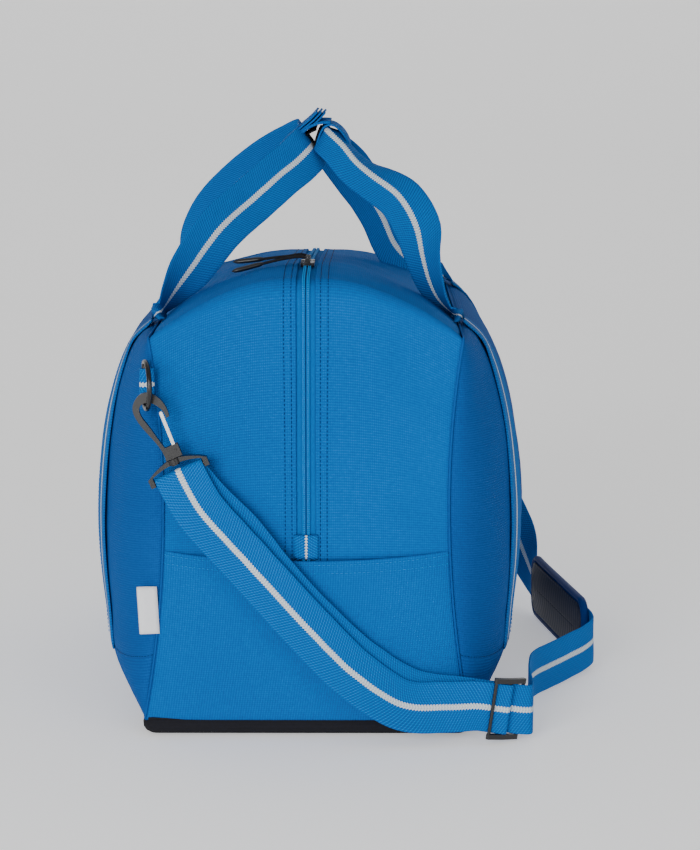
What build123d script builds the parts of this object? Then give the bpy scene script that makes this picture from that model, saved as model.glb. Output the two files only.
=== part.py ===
from build123d import *
import os
from math import acos, atan2, cos, degrees, hypot, pi, radians, sin, sqrt

# Duffel bag, resting upright on its base, zip closed, shoulder strap clipped on and laid round it.
# Millimetres. +Z is up, +Y runs along the bag from the near end to the far end, +X is the right side.
# The origin is the middle of the flat underside of the base.

# ---------------------------------------------------------------- driving dimensions
HALF_LENGTH = 250.0          # from the middle of the bag to each end panel
WALL = 2.5                   # fabric with its lining, as one closed wall
BASE_SEAM = 12.0             # height of the seam between base and side bands
EAR = 318.0                  # height of the pointed corners at the top of the side panels
WAIST = 112.0                # half width of an end at its narrowest
WAIST_HEIGHT = 190.0         # height of that narrowest place
BASE_SPREAD = 17.0           # how much wider than the waist an end is at the base seam
EAR_SPREAD = 10.5            # and at the ears
BELLY = 70.0                 # how far a packed side stands out beyond the ends
EAR_X = WAIST + EAR_SPREAD   # half width at the ears
BAND = 53.0                  # height of the lower side band at the ends
BAND_SAG = 18.0              # how far its seam drops at the middle of the bag
TOP_NEAR = 364.0             # height of the zip line at the near end
TOP_PEAK = 368.0             # and at its highest place
TOP_FAR = 343.0              # and at the far end
PEAK_Y = -165.0              # where the zip line is highest, and where the two sliders meet
ZIP_GAP = 7.5                # half of the gap between the folded fabric edges beside the zip
HEM = 142.0                  # height of the pocket hem
WEBBING = 40.0               # width of the handle and shoulder strap webbing
PLY = 1.6                    # thickness of that webbing
CLEAR = 0.4                  # working gap between pieces that move on each other
SEAM_IN = WALL + 0.3         # how far an end wall stops inside the face of the side it is sewn to
ZIP_SLOPE = {                # rise of the zip line per millimetre from its highest place towards each end
    -1: (TOP_NEAR - TOP_PEAK) / (HALF_LENGTH + PEAK_Y),
    1: (TOP_FAR - TOP_PEAK) / (HALF_LENGTH - PEAK_Y),
}

STATIONS = (-250.0, -246.0, -232.0, -205.0, -165.0, -90.0, 0.0, 90.0, 165.0, 205.0, 232.0, 246.0, 250.0)

os.makedirs("parts", exist_ok=True)


def keep(part, name):
    """Name a finished piece and write it."""
    part.part.label = name
    export_step(part.part, f"parts/{name}.step")


# ---------------------------------------------------------------- form of the packed bag
def fullness(y):
    """How much of the belly is reached at a place along the bag: 0 at the ends, 1 in the middle."""
    return max(0.0, 1 - abs(y / HALF_LENGTH) ** 2.5) ** 0.6


def end_half_width(z):
    """Half width of the flat end at a height: narrow at the waist, wider at the base and the ears."""
    if z < WAIST_HEIGHT:
        return WAIST + BASE_SPREAD * ((WAIST_HEIGHT - z) / (WAIST_HEIGHT - BASE_SEAM)) ** 2
    return WAIST + EAR_SPREAD * ((z - WAIST_HEIGHT) / (EAR - WAIST_HEIGHT)) ** 2


def half_width(y, z):
    """Half width of the bag at a place along it and a height."""
    rise = min(max((z - BASE_SEAM) / (EAR - BASE_SEAM), 0.0), 1.0)
    return end_half_width(z) + BELLY * fullness(y) * sqrt(max(sin(pi * rise), 0.0))


def band_top(y):
    """Height of the seam at the top of the lower side band."""
    return BASE_SEAM + BAND - BAND_SAG * fullness(y)


def zip_height(y):
    """Height of the zip line along the top of the bag."""
    end = -1 if y < PEAK_Y else 1
    return TOP_PEAK + ZIP_SLOPE[end] * abs(y - PEAK_Y)


def top_height(x, y):
    """Height of the arched top at a place across and along the bag."""
    return EAR + (zip_height(y) - EAR) * (1 - abs(x / EAR_X) ** 2.2)


def across(y):
    """The upright plane across the bag at a place along it, seen from the near end."""
    return Plane(origin=(0, y, 0), x_dir=(1, 0, 0), z_dir=(0, -1, 0))


def across_first(a, b):
    """The plane across the bag at whichever of two places along it is nearer the near end."""
    return across(min(a, b))


def spread(low, high, count):
    """Evenly spaced values from low to high."""
    return [low + (high - low) * i / (count - 1) for i in range(count)]


def side_heights(low, high, count):
    """Heights between two on a side, closer together where the side turns in at its foot and its top."""
    turns = [acos(1 - 2 * (z - BASE_SEAM) / (EAR - BASE_SEAM)) for z in (low, high)]
    return [BASE_SEAM + (EAR - BASE_SEAM) * (1 - cos(turn)) / 2 for turn in spread(*turns, count)]


def inset(points, depth):
    """A line of points moved sideways, to its left where the depth is positive."""
    moved = []
    for i, point in enumerate(points):
        run = points[min(i + 1, len(points) - 1)] - points[max(i - 1, 0)]
        moved.append(point + Vector(-run.Y, run.X).normalized() * depth)
    return moved


def side_wall(side, lower, upper, stations=STATIONS, face=0.0, depth=WALL):
    """A curved wall of one side between two heights, its face standing out from the bag's by an amount."""
    with BuildPart() as wall:
        for y in stations:
            heights = side_heights(lower(y), upper(y), 9)
            seam = [Vector(side * half_width(y, z), z) for z in heights]
            outer = inset(seam, -side * face)
            inner = inset(seam, side * (depth - face))
            with BuildSketch(across(y)):
                with BuildLine():
                    Spline(*outer)
                    Line(outer[-1], inner[-1])
                    Spline(*reversed(inner))
                    Line(inner[0], outer[0])
                make_face()
        loft(ruled=True)
    return wall


def top_strip(side, near_x, far_x, drop, depth, stations=STATIONS):
    """A strip of the arched top between two distances from the zip line, some depth below its face."""
    with BuildPart() as strip:
        for y in stations:
            places = spread(near_x, far_x, 7)
            outer = [(side * x, top_height(x, y) - drop) for x in places]
            inner = [(x, z - depth) for x, z in outer]
            with BuildSketch(across(y)):
                with BuildLine():
                    Spline(*outer)
                    Line(outer[-1], inner[-1])
                    Spline(*reversed(inner))
                    Line(inner[0], outer[0])
                make_face()
        loft(ruled=True)
    return strip


# ---------------------------------------------------------------- side panels and lower bands
SIDES = (("left", -1), ("right", 1))
ENDS = (("near", -1), ("far", 1))

for side_name, side in SIDES:
    keep(side_wall(side, lambda y: band_top(y) + 0.5, lambda y: EAR), f"side_panel_{side_name}")
    keep(side_wall(side, lambda y: BASE_SEAM, band_top), f"side_lower_band_{side_name}")

# ---------------------------------------------------------------- base
BASE_FLAT_X = 116.0          # half width of the flat that touches the ground
BASE_FLAT_Y = 240.0          # half length of that flat
BASE_RIM_X = WAIST + BASE_SPREAD - WALL - 0.3
BASE_RIM_Y = HALF_LENGTH
BOARD = 3.0

with BuildPart() as base_panel:
    with BuildSketch(Plane.XY):
        Rectangle(2 * BASE_FLAT_X, 2 * BASE_FLAT_Y)
        fillet(vertices(), 20)
    with BuildSketch(Plane.XY.offset(BASE_SEAM)):
        Rectangle(2 * BASE_RIM_X, 2 * BASE_RIM_Y)
        fillet(vertices(), 20)
    loft(ruled=True)
    with BuildSketch(Plane.XY.offset(WALL)):
        Rectangle(2 * (BASE_FLAT_X - WALL), 2 * (BASE_FLAT_Y - WALL))
        fillet(vertices(), 18)
    with BuildSketch(Plane.XY.offset(BASE_SEAM)):
        Rectangle(2 * (BASE_RIM_X - WALL), 2 * (BASE_RIM_Y - WALL))
        fillet(vertices(), 18)
    loft(ruled=True, mode=Mode.SUBTRACT)
keep(base_panel, "base_panel")

with BuildPart() as base_board:
    with BuildSketch(Plane.XY.offset(WALL + 0.2)):
        Rectangle(2 * (BASE_FLAT_X - WALL - 3), 2 * (BASE_FLAT_Y - WALL - 3))
        fillet(vertices(), 18)
    extrude(amount=BOARD)
    fillet(base_board.faces().sort_by(Axis.Z)[-1].edges(), 1)
keep(base_board, "base_board")


# ---------------------------------------------------------------- ends and zip gusset
ARCH_EDGE = EAR_X - 3.3      # where the arched top meets the inside of the side panel
FOLD_DROP = 1.0              # how far an end wall stops below the face of the arched top
POCKET_GAP = 6.0             # room behind a pocket panel, held open by its packed end
POCKET_LIP = 3.0             # how far a pocket's hem stands above the seam behind it
POCKET_EDGE = WAIST - WALL - 4.0    # half width of that room
POCKET_FLOOR = 8.0           # from the base seam to the bottom of that room


def side_seam(side, low, high):
    """The sewn side edge of an end wall between two heights."""
    return [(side * (end_half_width(z) - SEAM_IN), z) for z in spread(low, high, 7)]


def level_half(side, high):
    """Half of an end wall with a level top, from the middle of the bag out to the side seam."""
    low = BASE_SEAM + 0.2
    seam = side_seam(side, low, high)
    Line((0, low), seam[0])
    Spline(*seam)
    Polyline(seam[-1], (0, high), (0, low))


def arched_half(side, end):
    """Half of the end wall above a pocket, from beside the zip out to the side seam, arched on top."""
    seam = side_seam(side, HEM, EAR - 1)
    places = spread(ARCH_EDGE - 0.2, ZIP_GAP, 7)
    arch = [(side * x, top_height(x, end * HALF_LENGTH) - FOLD_DROP) for x in places]
    foot = (side * ZIP_GAP, HEM)
    Line(foot, seam[0])
    Spline(*seam)
    Line(seam[-1], arch[0])
    Spline(*arch)
    Line(arch[-1], foot)


for side_name, side in SIDES:
    over_the_top = top_strip(side, ZIP_GAP, ARCH_EDGE, 0, WALL)
    with BuildPart() as gusset:
        add(over_the_top.part)
        for end in (-1, 1):
            with BuildSketch(across_first(end * HALF_LENGTH, end * (HALF_LENGTH - WALL))):
                with BuildLine():
                    arched_half(side, end)
                make_face()
            extrude(amount=-WALL)
    keep(gusset, f"zip_gusset_{side_name}")

for end_name, end in ENDS:
    with BuildPart() as end_panel:
        with BuildSketch(across_first(end * HALF_LENGTH, end * (HALF_LENGTH - WALL))):
            for side in (-1, 1):
                with BuildLine():
                    level_half(side, HEM - 0.2)
                make_face()
        extrude(amount=-WALL)
    keep(end_panel, f"end_panel_{end_name}")

    pocket_face = end * (HALF_LENGTH + POCKET_GAP)
    with BuildPart() as pocket:
        with BuildSketch(across_first(pocket_face, pocket_face + end * WALL)):
            for side in (-1, 1):
                with BuildLine():
                    level_half(side, HEM + POCKET_LIP)
                make_face()
        extrude(amount=-WALL)
        with BuildSketch(across_first(end * HALF_LENGTH, pocket_face)):
            for side in (-1, 1):
                with BuildLine():
                    level_half(side, HEM + POCKET_LIP)
                make_face()
            with Locations((0, BASE_SEAM + POCKET_FLOOR)):
                Rectangle(2 * POCKET_EDGE, HEM, align=(Align.CENTER, Align.MIN), mode=Mode.SUBTRACT)
        extrude(amount=-POCKET_GAP)
    keep(pocket, f"end_pocket_{end_name}")

# ---------------------------------------------------------------- zip
TAPE_INNER = 4.0             # tape edge beside the coil
TAPE_OUTER = 14.0            # tape edge sewn under the gusset
TAPE = 0.9
COIL_HALF = 3.7
COIL_DROP = 1.2              # how far the coil's face lies below the fabric's
COIL = 2.2
TAPE_DROP = WALL + 0.2
ZIP_END = HALF_LENGTH - 2.8  # where the tape and coil turn down behind each end wall
ZIP_FOOT = HEM + 2.0         # height of their sewn ends
TAPE_STATIONS = (-ZIP_END,) + STATIONS[1:-1] + (ZIP_END,)


def zip_strip(side, inner_x, outer_x, drop, depth, end_gap):
    """A strip that runs up the near end, over the top and down the far end."""
    over_the_top = top_strip(side, inner_x, outer_x, drop, depth, TAPE_STATIONS)
    with BuildPart() as strip:
        add(over_the_top.part)
        for end in (-1, 1):
            high = zip_height(end * ZIP_END) - drop - depth / 2
            centre_y = end * (HALF_LENGTH - end_gap - depth / 2)
            with Locations((side * (inner_x + outer_x) / 2, centre_y, (ZIP_FOOT + high) / 2)):
                Box(outer_x - inner_x, depth, high - ZIP_FOOT)
    return strip


for side_name, side in SIDES:
    keep(zip_strip(side, TAPE_INNER, TAPE_OUTER, TAPE_DROP, TAPE, TAPE_DROP), f"zip_tape_{side_name}")
keep(zip_strip(1, -COIL_HALF, COIL_HALF, COIL_DROP, COIL, COIL_DROP), "zip_coil")

TAB_WIDTH = 19.0             # a folded tab of narrow webbing covers each end of the zip
TAB_LENGTH = 21.0
TAB = 2.4
for end_name, end in ENDS:
    with BuildPart() as tab:
        with Locations((0, end * (HALF_LENGTH + TAB / 2 + 0.2), HEM + TAB_LENGTH / 2)):
            Box(TAB_WIDTH, TAB, TAB_LENGTH)
        fillet(tab.edges().filter_by(Axis.X).group_by(Axis.Z)[-1], 1.0)
    keep(tab, f"zip_end_tab_{end_name}")

SLIDER_WIDTH = 11.0
SLIDER_LENGTH = 15.0
SLIDER_START = {"near": PEAK_Y - 10.0, "far": PEAK_Y + 10.0}
PULL_LENGTH = 62.0
PULL_RISE = 5.4              # height of the pull's pivot above the fabric
BAIL_HALF = 4.4              # half the distance between the posts that hold the slider's bail
PULL_DIP = 9.0               # how far the pull's tip lies below its pivot
SLIDER_BODY = 3.4
POST = (1.6, 4.0)            # section of each post
POST_FOOT = 2.5              # where the posts start above the fabric
BAIL = 0.9                   # radius of the bail's bar
PULL = 2.2                   # half width of the pull across the zip, and radius of its eye
PULL_DEPTH = 2.4             # thickness of its braid
PULL_HOLE = 1.2              # radius of its eye's hole


def on_zip(y, end):
    """The plane on the fabric at the zip line, its x axis along the zip towards an end, z axis up."""
    rise = ZIP_SLOPE[end]
    length = hypot(1, rise)
    return Plane(origin=(0, y, zip_height(y)), x_dir=(0, end / length, rise / length),
                 z_dir=(0, -rise * end / length, 1 / length))


for end_name, end in ENDS:
    bed = on_zip(SLIDER_START[end_name], end)
    with BuildPart() as slider:
        with BuildSketch(bed.offset(-COIL_DROP + 0.5)):
            RectangleRounded(SLIDER_LENGTH, SLIDER_WIDTH, 3)
        extrude(amount=SLIDER_BODY)
        with BuildSketch(bed.offset(POST_FOOT)):
            with GridLocations(2 * BAIL_HALF, 0, 2, 1):
                RectangleRounded(*POST, 0.6)
        extrude(amount=PULL_RISE - POST_FOOT + BAIL + 0.2)
        bail_plane = Plane(origin=bed.origin + bed.z_dir * PULL_RISE, x_dir=bed.y_dir, z_dir=bed.x_dir)
        with BuildSketch(bail_plane):
            Circle(BAIL)
        extrude(amount=BAIL_HALF, both=True)
    keep(slider, f"zip_slider_{end_name}")

    slope = atan2(PULL_DIP, PULL_LENGTH)
    lie = Plane(origin=bail_plane.origin, x_dir=(-cos(slope), 0, -sin(slope)), z_dir=bed.x_dir)
    with BuildPart() as pull:
        with BuildSketch(lie):
            Circle(PULL)
            with Locations((PULL_LENGTH / 2 + 1.6, 0)):
                SlotOverall(PULL_LENGTH, PULL_DEPTH)
            Circle(PULL_HOLE, mode=Mode.SUBTRACT)
        extrude(amount=PULL, both=True)
    keep(pull, f"zip_pull_{end_name}")

# ---------------------------------------------------------------- carry handles
HANDLE_Y = 150.0             # each handle leg is sewn down the side panel this far from the middle
GRIP_HALF = 45.0             # half length of the wrapped grip
SEWN_GAP = 0.6               # room between webbing and the panel that it is sewn to

# One leg of each handle, from its panel up to the grip: place for the far leg, direction across the
# webbing and direction along it. The near leg is the same with y turned round.
HANDLE_LEG = {
    "left": [
        ((-126, 150, 323), (0, -1, 0), (0.25, 0, 1)),
        ((-118, 147, 338), (0.45, -0.85, -0.2), (0.5, -0.2, 0.85)),
        ((-98, 139, 360), (0.70, -0.25, -0.65), (0.6, -0.3, 0.75)),
        ((-68, 120, 397), (0.75, 0, -0.66), (0.6, -0.45, 0.66)),
        ((-30, 80, 432), (0.65, 0.1, -0.75), (0.6, -0.65, 0.5)),
        ((-9, GRIP_HALF, 456), (0.6, 0, -0.8), (0.1, -1, 0.05)),
    ],
    "right": [
        ((126, 150, 323), (0, 1, 0), (-0.25, 0, 1)),
        ((114, 146, 347), (0.55, 0.8, 0.15), (-0.45, -0.2, 0.9)),
        ((98, 136, 376), (0.85, 0.35, 0.3), (-0.3, -0.3, 0.9)),
        ((83, 115, 408), (0.8, 0.2, 0.55), (-0.5, -0.5, 0.7)),
        ((52, 85, 432), (0.55, 0.1, 0.83), (-0.7, -0.6, 0.35)),
        ((20, GRIP_HALF, 460), (0.5, 0, 0.86), (-0.1, -1, 0.05)),
    ],
}
WRAP = 3.0                   # thickness of a grip wrap wing, several plies of fabric
WRAP_OUTLINE = {             # the middle of each wing's thickness, seen from the near end
    "left": [(-30, 441), (-33, 455), (-27, 472), (-10, 482), (3, 485)],
    "right": [(16, 443), (27, 452), (36, 468), (33, 482), (20, 486), (9, 483)],
}


def ribbon(stations, width=WEBBING, depth=PLY):
    """Flat webbing through stations: a place, a direction across it and a direction along it."""
    with BuildPart() as strip:
        for place, edge, run in stations:
            with BuildSketch(Plane(origin=place, x_dir=edge, z_dir=run)):
                Rectangle(width, depth)
        loft(ruled=True)
    return strip


def whole_loop(leg):
    """The stations of a handle from the near panel up to the grip and down to the far panel."""
    near = [((x, -y, z), (ex, -ey, ez), (rx, -ry, rz)) for (x, y, z), (ex, ey, ez), (rx, ry, rz) in leg]
    far = [(place, edge, (-rx, -ry, -rz)) for place, edge, (rx, ry, rz) in reversed(leg)]
    return near + far


for side_name, side in SIDES:
    keep(ribbon(whole_loop(HANDLE_LEG[side_name])), f"handle_loop_{side_name}")
    with BuildPart() as wrap:
        with BuildSketch(Plane.XZ):
            with BuildLine():
                FilletPolyline(*WRAP_OUTLINE[side_name], radius=4)
            trace(line_width=WRAP)
        extrude(amount=GRIP_HALF, both=True)
    keep(wrap, f"grip_wrap_{side_name}")
    for end_name, end in ENDS:
        width = [end * HANDLE_Y + place for place in spread(-WEBBING / 2, WEBBING / 2, 5)]
        run = side_wall(side, lambda y: band_top(y) + 1, lambda y: EAR - 2, width, PLY + SEWN_GAP, PLY)
        keep(run, f"handle_run_{side_name}_{end_name}")

# ---------------------------------------------------------------- D-rings and their loops
WIRE = 2.0                   # radius of the ring's bar
RING_HALF = 16.5             # half length of its straight bar
RING_REACH = 26.0            # from the bar to the far side of the arc
RING_HEIGHT = 283.0
RING_BAR = {"near": (-125.0, -256.5), "far": (125.0, 256.5)}
RING_TURN = {"near": -76.5, "far": 16.0}     # which way each ring points, turned from +X
RING_WEBBING = 25.0
HOOK_ON_RING = 14.0          # how far out from the bar the hook hangs
SEAM_CORNER = {"near": (-119.0, -253.4), "far": (119.0, 253.4)}


def flat(angle):
    """A level direction turned from +X."""
    return Vector(cos(radians(angle)), sin(radians(angle)), 0)


for end_name, end in ENDS:
    bar = Vector(*RING_BAR[end_name], RING_HEIGHT)
    outward = flat(RING_TURN[end_name])
    ring_plane = Plane(origin=bar, x_dir=outward, z_dir=outward.cross(Vector(0, 0, 1)))
    with BuildPart() as ring:
        with BuildLine(ring_plane) as path:
            straight = Line((0, -RING_HALF), (0, RING_HALF))
            ThreePointArc((0, RING_HALF), (RING_REACH, 0), (0, -RING_HALF))
            fillet(path.vertices(), 3)
        with BuildSketch(Plane(origin=bar, x_dir=outward, z_dir=(0, 0, 1))):
            Circle(WIRE)
        sweep(path=path.wires()[0])
    keep(ring, f"d_ring_{end_name}")

    corner = Vector(*SEAM_CORNER[end_name], RING_HEIGHT)
    reach = (corner - bar).length
    with BuildPart() as ring_loop:
        foot = bar - Vector(0, 0, RING_WEBBING / 2)
        with BuildSketch(Plane(origin=foot, x_dir=corner - bar, z_dir=(0, 0, 1))):
            Circle(WIRE + CLEAR + PLY)
            with Locations((reach / 2, 0)):
                Rectangle(reach, 2 * (WIRE + CLEAR + PLY))
            Circle(WIRE + CLEAR, mode=Mode.SUBTRACT)
            with Locations((reach / 2 + 1, 0)):
                Rectangle(reach + 2, 2 * (WIRE + CLEAR), mode=Mode.SUBTRACT)
        extrude(amount=RING_WEBBING)
    keep(ring_loop, f"ring_loop_{end_name}")

# ---------------------------------------------------------------- snap hooks
HOOK_LEAN = 23.6             # how far a clipped hook leans from upright
HOOK_HALF = 2.5              # half thickness of the hook's body
EYE = (-2.0, 43.4)           # where the ring's bar lies in the hook, from the swivel collar
ARC_CENTRE = (RING_REACH ** 2 - RING_HALF ** 2) / (2 * RING_REACH)
ARC_RADIUS = RING_REACH - ARC_CENTRE
BAR_DROP = 12.5              # from the collar's top to the strap bar
BAR_RADIUS = 1.9
BAR_HALF = 20.8
STEM = 2.0                   # radius of the swivel's stem
COLLAR = 5.4                 # radius of the swivel's collar
PIVOT = (4.8, 6.0)           # gate pivot, from the swivel collar
GATE_TIP = (6.1, 36.0)       # where the gate rests inside the hook's nose
RIVET = 1.0                  # radius of the gate's rivet
GATE_WIRE = 2.6              # thickness of the gate
LEAF = 3.1                   # from the bar's middle to the middle of each webbing ply beside it


def hook_frame(end_name):
    """The plane of a clipped snap hook: origin at its swivel collar, y axis up its stem."""
    outward = flat(RING_TURN[end_name])
    level = flat(RING_TURN[end_name] + 76.5)
    drop = sqrt(ARC_RADIUS ** 2 - (HOOK_ON_RING - ARC_CENTRE) ** 2)
    hang = Vector(*RING_BAR[end_name], RING_HEIGHT - drop) + outward * HOOK_ON_RING
    right = level * cos(radians(HOOK_LEAN)) + Vector(0, 0, sin(radians(HOOK_LEAN)))
    up = Vector(0, 0, cos(radians(HOOK_LEAN))) - level * sin(radians(HOOK_LEAN))
    return Plane(origin=hang - right * EYE[0] - up * EYE[1], x_dir=right, z_dir=right.cross(up))


def base_frame(end_name):
    """The plane of a hook's swivel base, which faces the near end at either end of the strap."""
    frame = hook_frame(end_name)
    if end_name == "near":
        return frame
    return Plane(origin=frame.origin, x_dir=frame.z_dir, z_dir=frame.z_dir.cross(frame.y_dir))


def along_stem(frame, height):
    """A plane square to a hook's stem, at a height above the collar."""
    return Plane(origin=frame.origin + frame.y_dir * height, x_dir=frame.x_dir, z_dir=frame.y_dir)


for end_name, end in ENDS:
    frame = hook_frame(end_name)
    with BuildPart() as hook:
        with BuildSketch(frame):
            with BuildLine():
                back = Spline((-5.5, 0), (-8.3, 21), (-13, 38), (-12.4, 48), (-7, 54), (0, 55.8), (7, 51.5),
                              (11.6, 41), (11.2, 31.5))
                Line(back @ 1, (8.4, 31.2))
                throat = Spline((8.4, 31.2), (8.3, 37), (4.8, 44), (-1.5, 48.3), (-7, 46.8), (-8.8, 41),
                                (-7.2, 33), (-3.8, 17), (-2.2, 10))
                Polyline(throat @ 1, (8.2, 10), (8.2, 0), (-5.5, 0))
            make_face()
        extrude(amount=HOOK_HALF, both=True)
        with BuildSketch(frame):
            with Locations((PIVOT[0] + 1.2, PIVOT[1] + 1.8)):
                Rectangle(8.0, 10.0)
        extrude(amount=1.3, both=True, mode=Mode.SUBTRACT)
        with BuildSketch(frame):
            with Locations(PIVOT):
                Circle(RIVET)
        extrude(amount=HOOK_HALF, both=True, mode=Mode.SUBTRACT)
        with BuildSketch(along_stem(frame, 0.05)):
            Circle(STEM)
        extrude(amount=-4.6)
        with BuildSketch(along_stem(frame, -4.4)):
            Circle(STEM + 1.3)
        extrude(amount=-1.2)
    keep(hook, f"snap_hook_{end_name}")

    with BuildPart() as rivet:
        with BuildSketch(frame):
            with Locations(PIVOT):
                Circle(RIVET)
        extrude(amount=HOOK_HALF + 0.3, both=True)
    keep(rivet, f"gate_rivet_{end_name}")

    gate_run = Vector(GATE_TIP[0] - PIVOT[0], GATE_TIP[1] - PIVOT[1])
    gate_lean = degrees(atan2(gate_run.Y, gate_run.X))
    with BuildPart() as gate:
        with BuildSketch(frame):
            with Locations(PIVOT):
                Circle(2.3)
            with Locations(((PIVOT[0] + GATE_TIP[0]) / 2, (PIVOT[1] + GATE_TIP[1]) / 2)):
                SlotOverall(gate_run.length + GATE_WIRE, GATE_WIRE, rotation=gate_lean)
            with Locations(PIVOT):
                Circle(RIVET + 0.06, mode=Mode.SUBTRACT)
        extrude(amount=1.0, both=True)
    keep(gate, f"hook_gate_{end_name}")

    frame = base_frame(end_name)
    with BuildPart() as swivel:
        with BuildSketch(frame):
            with BuildLine():
                arch = Spline((-5.2, -0.4), (-9, -1.4), (-14, -3.2), (-19.5, -5.6))
                Polyline(arch @ 1, (-24.6, -8.5), (-24.6, -15.2), (-20.8, -15.2), (-20.8, -8.1))
                lower = Spline((-20.8, -8.1), (-14, -5.8), (-5.2, -4.3))
                Line(lower @ 1, (0, -4.3))
                Line((0, -4.3), (0, -0.4))
                Line((0, -0.4), arch @ 0)
            make_face()
            mirror(about=Plane.YZ)
        extrude(amount=3.4, both=True)
        with BuildSketch(along_stem(frame, -0.4)):
            Circle(COLLAR)
        extrude(amount=-3.9)
        with BuildSketch(Plane(origin=frame.origin - frame.y_dir * BAR_DROP, x_dir=frame.y_dir,
                               z_dir=frame.x_dir)):
            Circle(BAR_RADIUS)
        extrude(amount=BAR_HALF + 2, both=True)
        with BuildSketch(along_stem(frame, 0)):
            Circle(STEM + 0.08)
        extrude(amount=-5, mode=Mode.SUBTRACT)
    keep(swivel, f"swivel_base_{end_name}")

# ---------------------------------------------------------------- shoulder strap
# The main webbing runs from the pad, through the adjuster, up to the near hook's bar as the back ply,
# over the bar and down again as the front ply, whose end is sewn round the adjuster's middle bar.
near_base = base_frame("near")
near_bar = near_base.origin - near_base.y_dir * BAR_DROP
ply_start = near_bar - near_base.y_dir * 0.8
BACK_Y = near_bar.Y + LEAF
FRONT_Y = near_bar.Y - LEAF
LEG_START = [(ply_start.X, ply_start.Z), (-83, 188), (-60, 161), (-34, 132)]
FRONT_PLY = LEG_START + [(0, 94), (38, 56), (78, 31), (112, 26)]
ADJUSTER = (157.0, 27.5)     # place of the adjuster's middle bar across the bag and up
ADJUSTER_DIP = 8.0           # how far the strap slopes down where it passes the adjuster
BACK_PLY = LEG_START + [(4, 97), (44, 62), (84, 40.5), (120, 32.7), (171, 25.5)]
# From the adjuster the strap turns round the bag's corner and stands on its edge along the floor:
# x, y from the back ply, height of its middle, and its level direction there.
SIDE_RUN = [
    (172.8, 0, 25.3, (1, 0.02)),
    (176, 2.2, 25, (0.7, 0.7)),
    (178.3, 8, 24.8, (0.1, 1)),
    (180, 74, 24, (0.06, 1)),
    (187, 118, 23, (0.32, 0.94)),
    (208, 155, 23, (0.62, 0.78)),
    (236, 194, 26, (0.66, 0.75)),
    (244.2, 208, 28.5, (0.35, 0.93)),
    (245, 220, 30, (-0.157, 0.987)),
    (210, 440, 30, (-0.157, 0.987)),
]
SEWN_STUB = 45.0             # how far the far end of the strap is sewn back on itself


def bar_bend(frame, front_leg, back_leg):
    """Webbing bent over a hook's strap bar, with a leg of some length below the bar on each side."""
    with BuildPart() as bend:
        with BuildSketch(Plane(origin=frame.origin - frame.y_dir * BAR_DROP, x_dir=frame.z_dir,
                               z_dir=-frame.x_dir)):
            Circle(LEAF + PLY / 2)
            Circle(LEAF - PLY / 2, mode=Mode.SUBTRACT)
            with Locations((0, -20)):
                Rectangle(40, 40, mode=Mode.SUBTRACT)
            with Locations((LEAF, -front_leg / 2)):
                Rectangle(PLY, front_leg)
            with Locations((-LEAF, -back_leg / 2)):
                Rectangle(PLY, back_leg)
        extrude(amount=WEBBING / 2, both=True)
    return bend


def hanging_ply(route, y):
    """Webbing that hangs flat against the bag's end, along a route seen from the near end."""
    with BuildPart() as ply:
        with BuildSketch(Plane(origin=(0, y, 0), x_dir=(1, 0, 0), z_dir=(0, -1, 0))):
            with BuildLine():
                Spline(*route, tangents=[(sin(radians(HOOK_LEAN)), -cos(radians(HOOK_LEAN))),
                                         (route[-1][0] - route[-2][0], route[-1][1] - route[-2][1])])
            trace(line_width=WEBBING)
        extrude(amount=PLY / 2, both=True)
    return ply


over_bar = bar_bend(near_base, 1.0, 0.1)
front_ply = hanging_ply(FRONT_PLY, FRONT_Y)
with BuildPart() as strap_front:
    add(over_bar.part)
    add(front_ply.part)
keep(strap_front, "strap_front_ply")
keep(hanging_ply(BACK_PLY, BACK_Y), "strap_back_ply")

strap_side = ribbon([((x, BACK_Y + y, z), (0, 0, 1), (*run, 0)) for x, y, z, run in SIDE_RUN])
keep(strap_side, "strap_side_run")

far_base = base_frame("far")
far_bar = far_base.origin - far_base.y_dir * BAR_DROP
FAR_LEG = [
    (far_bar + far_base.z_dir * LEAF - far_base.y_dir * 1.0, far_base.x_dir, -far_base.y_dir),
    ((142, 288, 184), (0.97, 0, 0.2), (0.25, 0.1, -0.96)),
    ((154, 284, 150), (0.9, 0, 0.4), (0.4, -0.25, -0.88)),
    ((174, 262, 107), (0.87, 0.05, 0.48), (0.42, -0.5, -0.76)),
    ((193, 232, 70), (0.72, 0, 0.68), (0.38, -0.68, -0.6)),
    ((205, 203, 43), (0.35, -0.1, 0.93), (0.3, -0.84, -0.42)),
    ((210, BACK_Y + 440.3, 30), (0, 0, 1), (0.157, -0.987, 0)),
]
far_over_bar = bar_bend(far_base, 1.0, SEWN_STUB)
far_leg = ribbon(FAR_LEG)
with BuildPart() as strap_far:
    add(far_over_bar.part)
    add(far_leg.part)
keep(strap_far, "strap_far_leg")

# ---------------------------------------------------------------- strap adjuster
RAIL_REACH = 11.0            # from the adjuster's middle bar to each outer bar
RAIL = 4.0
SMALL_BAR = 1.4
SMALL_GAP = 0.3
BACK_LEAF = PLY + SMALL_GAP                             # middle of the sewn end's back leaf
MIDDLE_BAR = BACK_LEAF + PLY / 2 + SMALL_GAP + SMALL_BAR
FRONT_LEAF = 2 * MIDDLE_BAR - BACK_LEAF
FRONT_BAR = FRONT_LEAF + PLY / 2 + SMALL_GAP + SMALL_BAR
BACK_BAR = -(PLY / 2 + SMALL_GAP + SMALL_BAR)
FRONT_LEAF_END = -22.0
BACK_LEAF_END = -28.0
adjuster_run = Vector(cos(radians(ADJUSTER_DIP)), 0, -sin(radians(ADJUSTER_DIP)))
adjuster_origin = Vector(ADJUSTER[0], BACK_Y, ADJUSTER[1])
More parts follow.
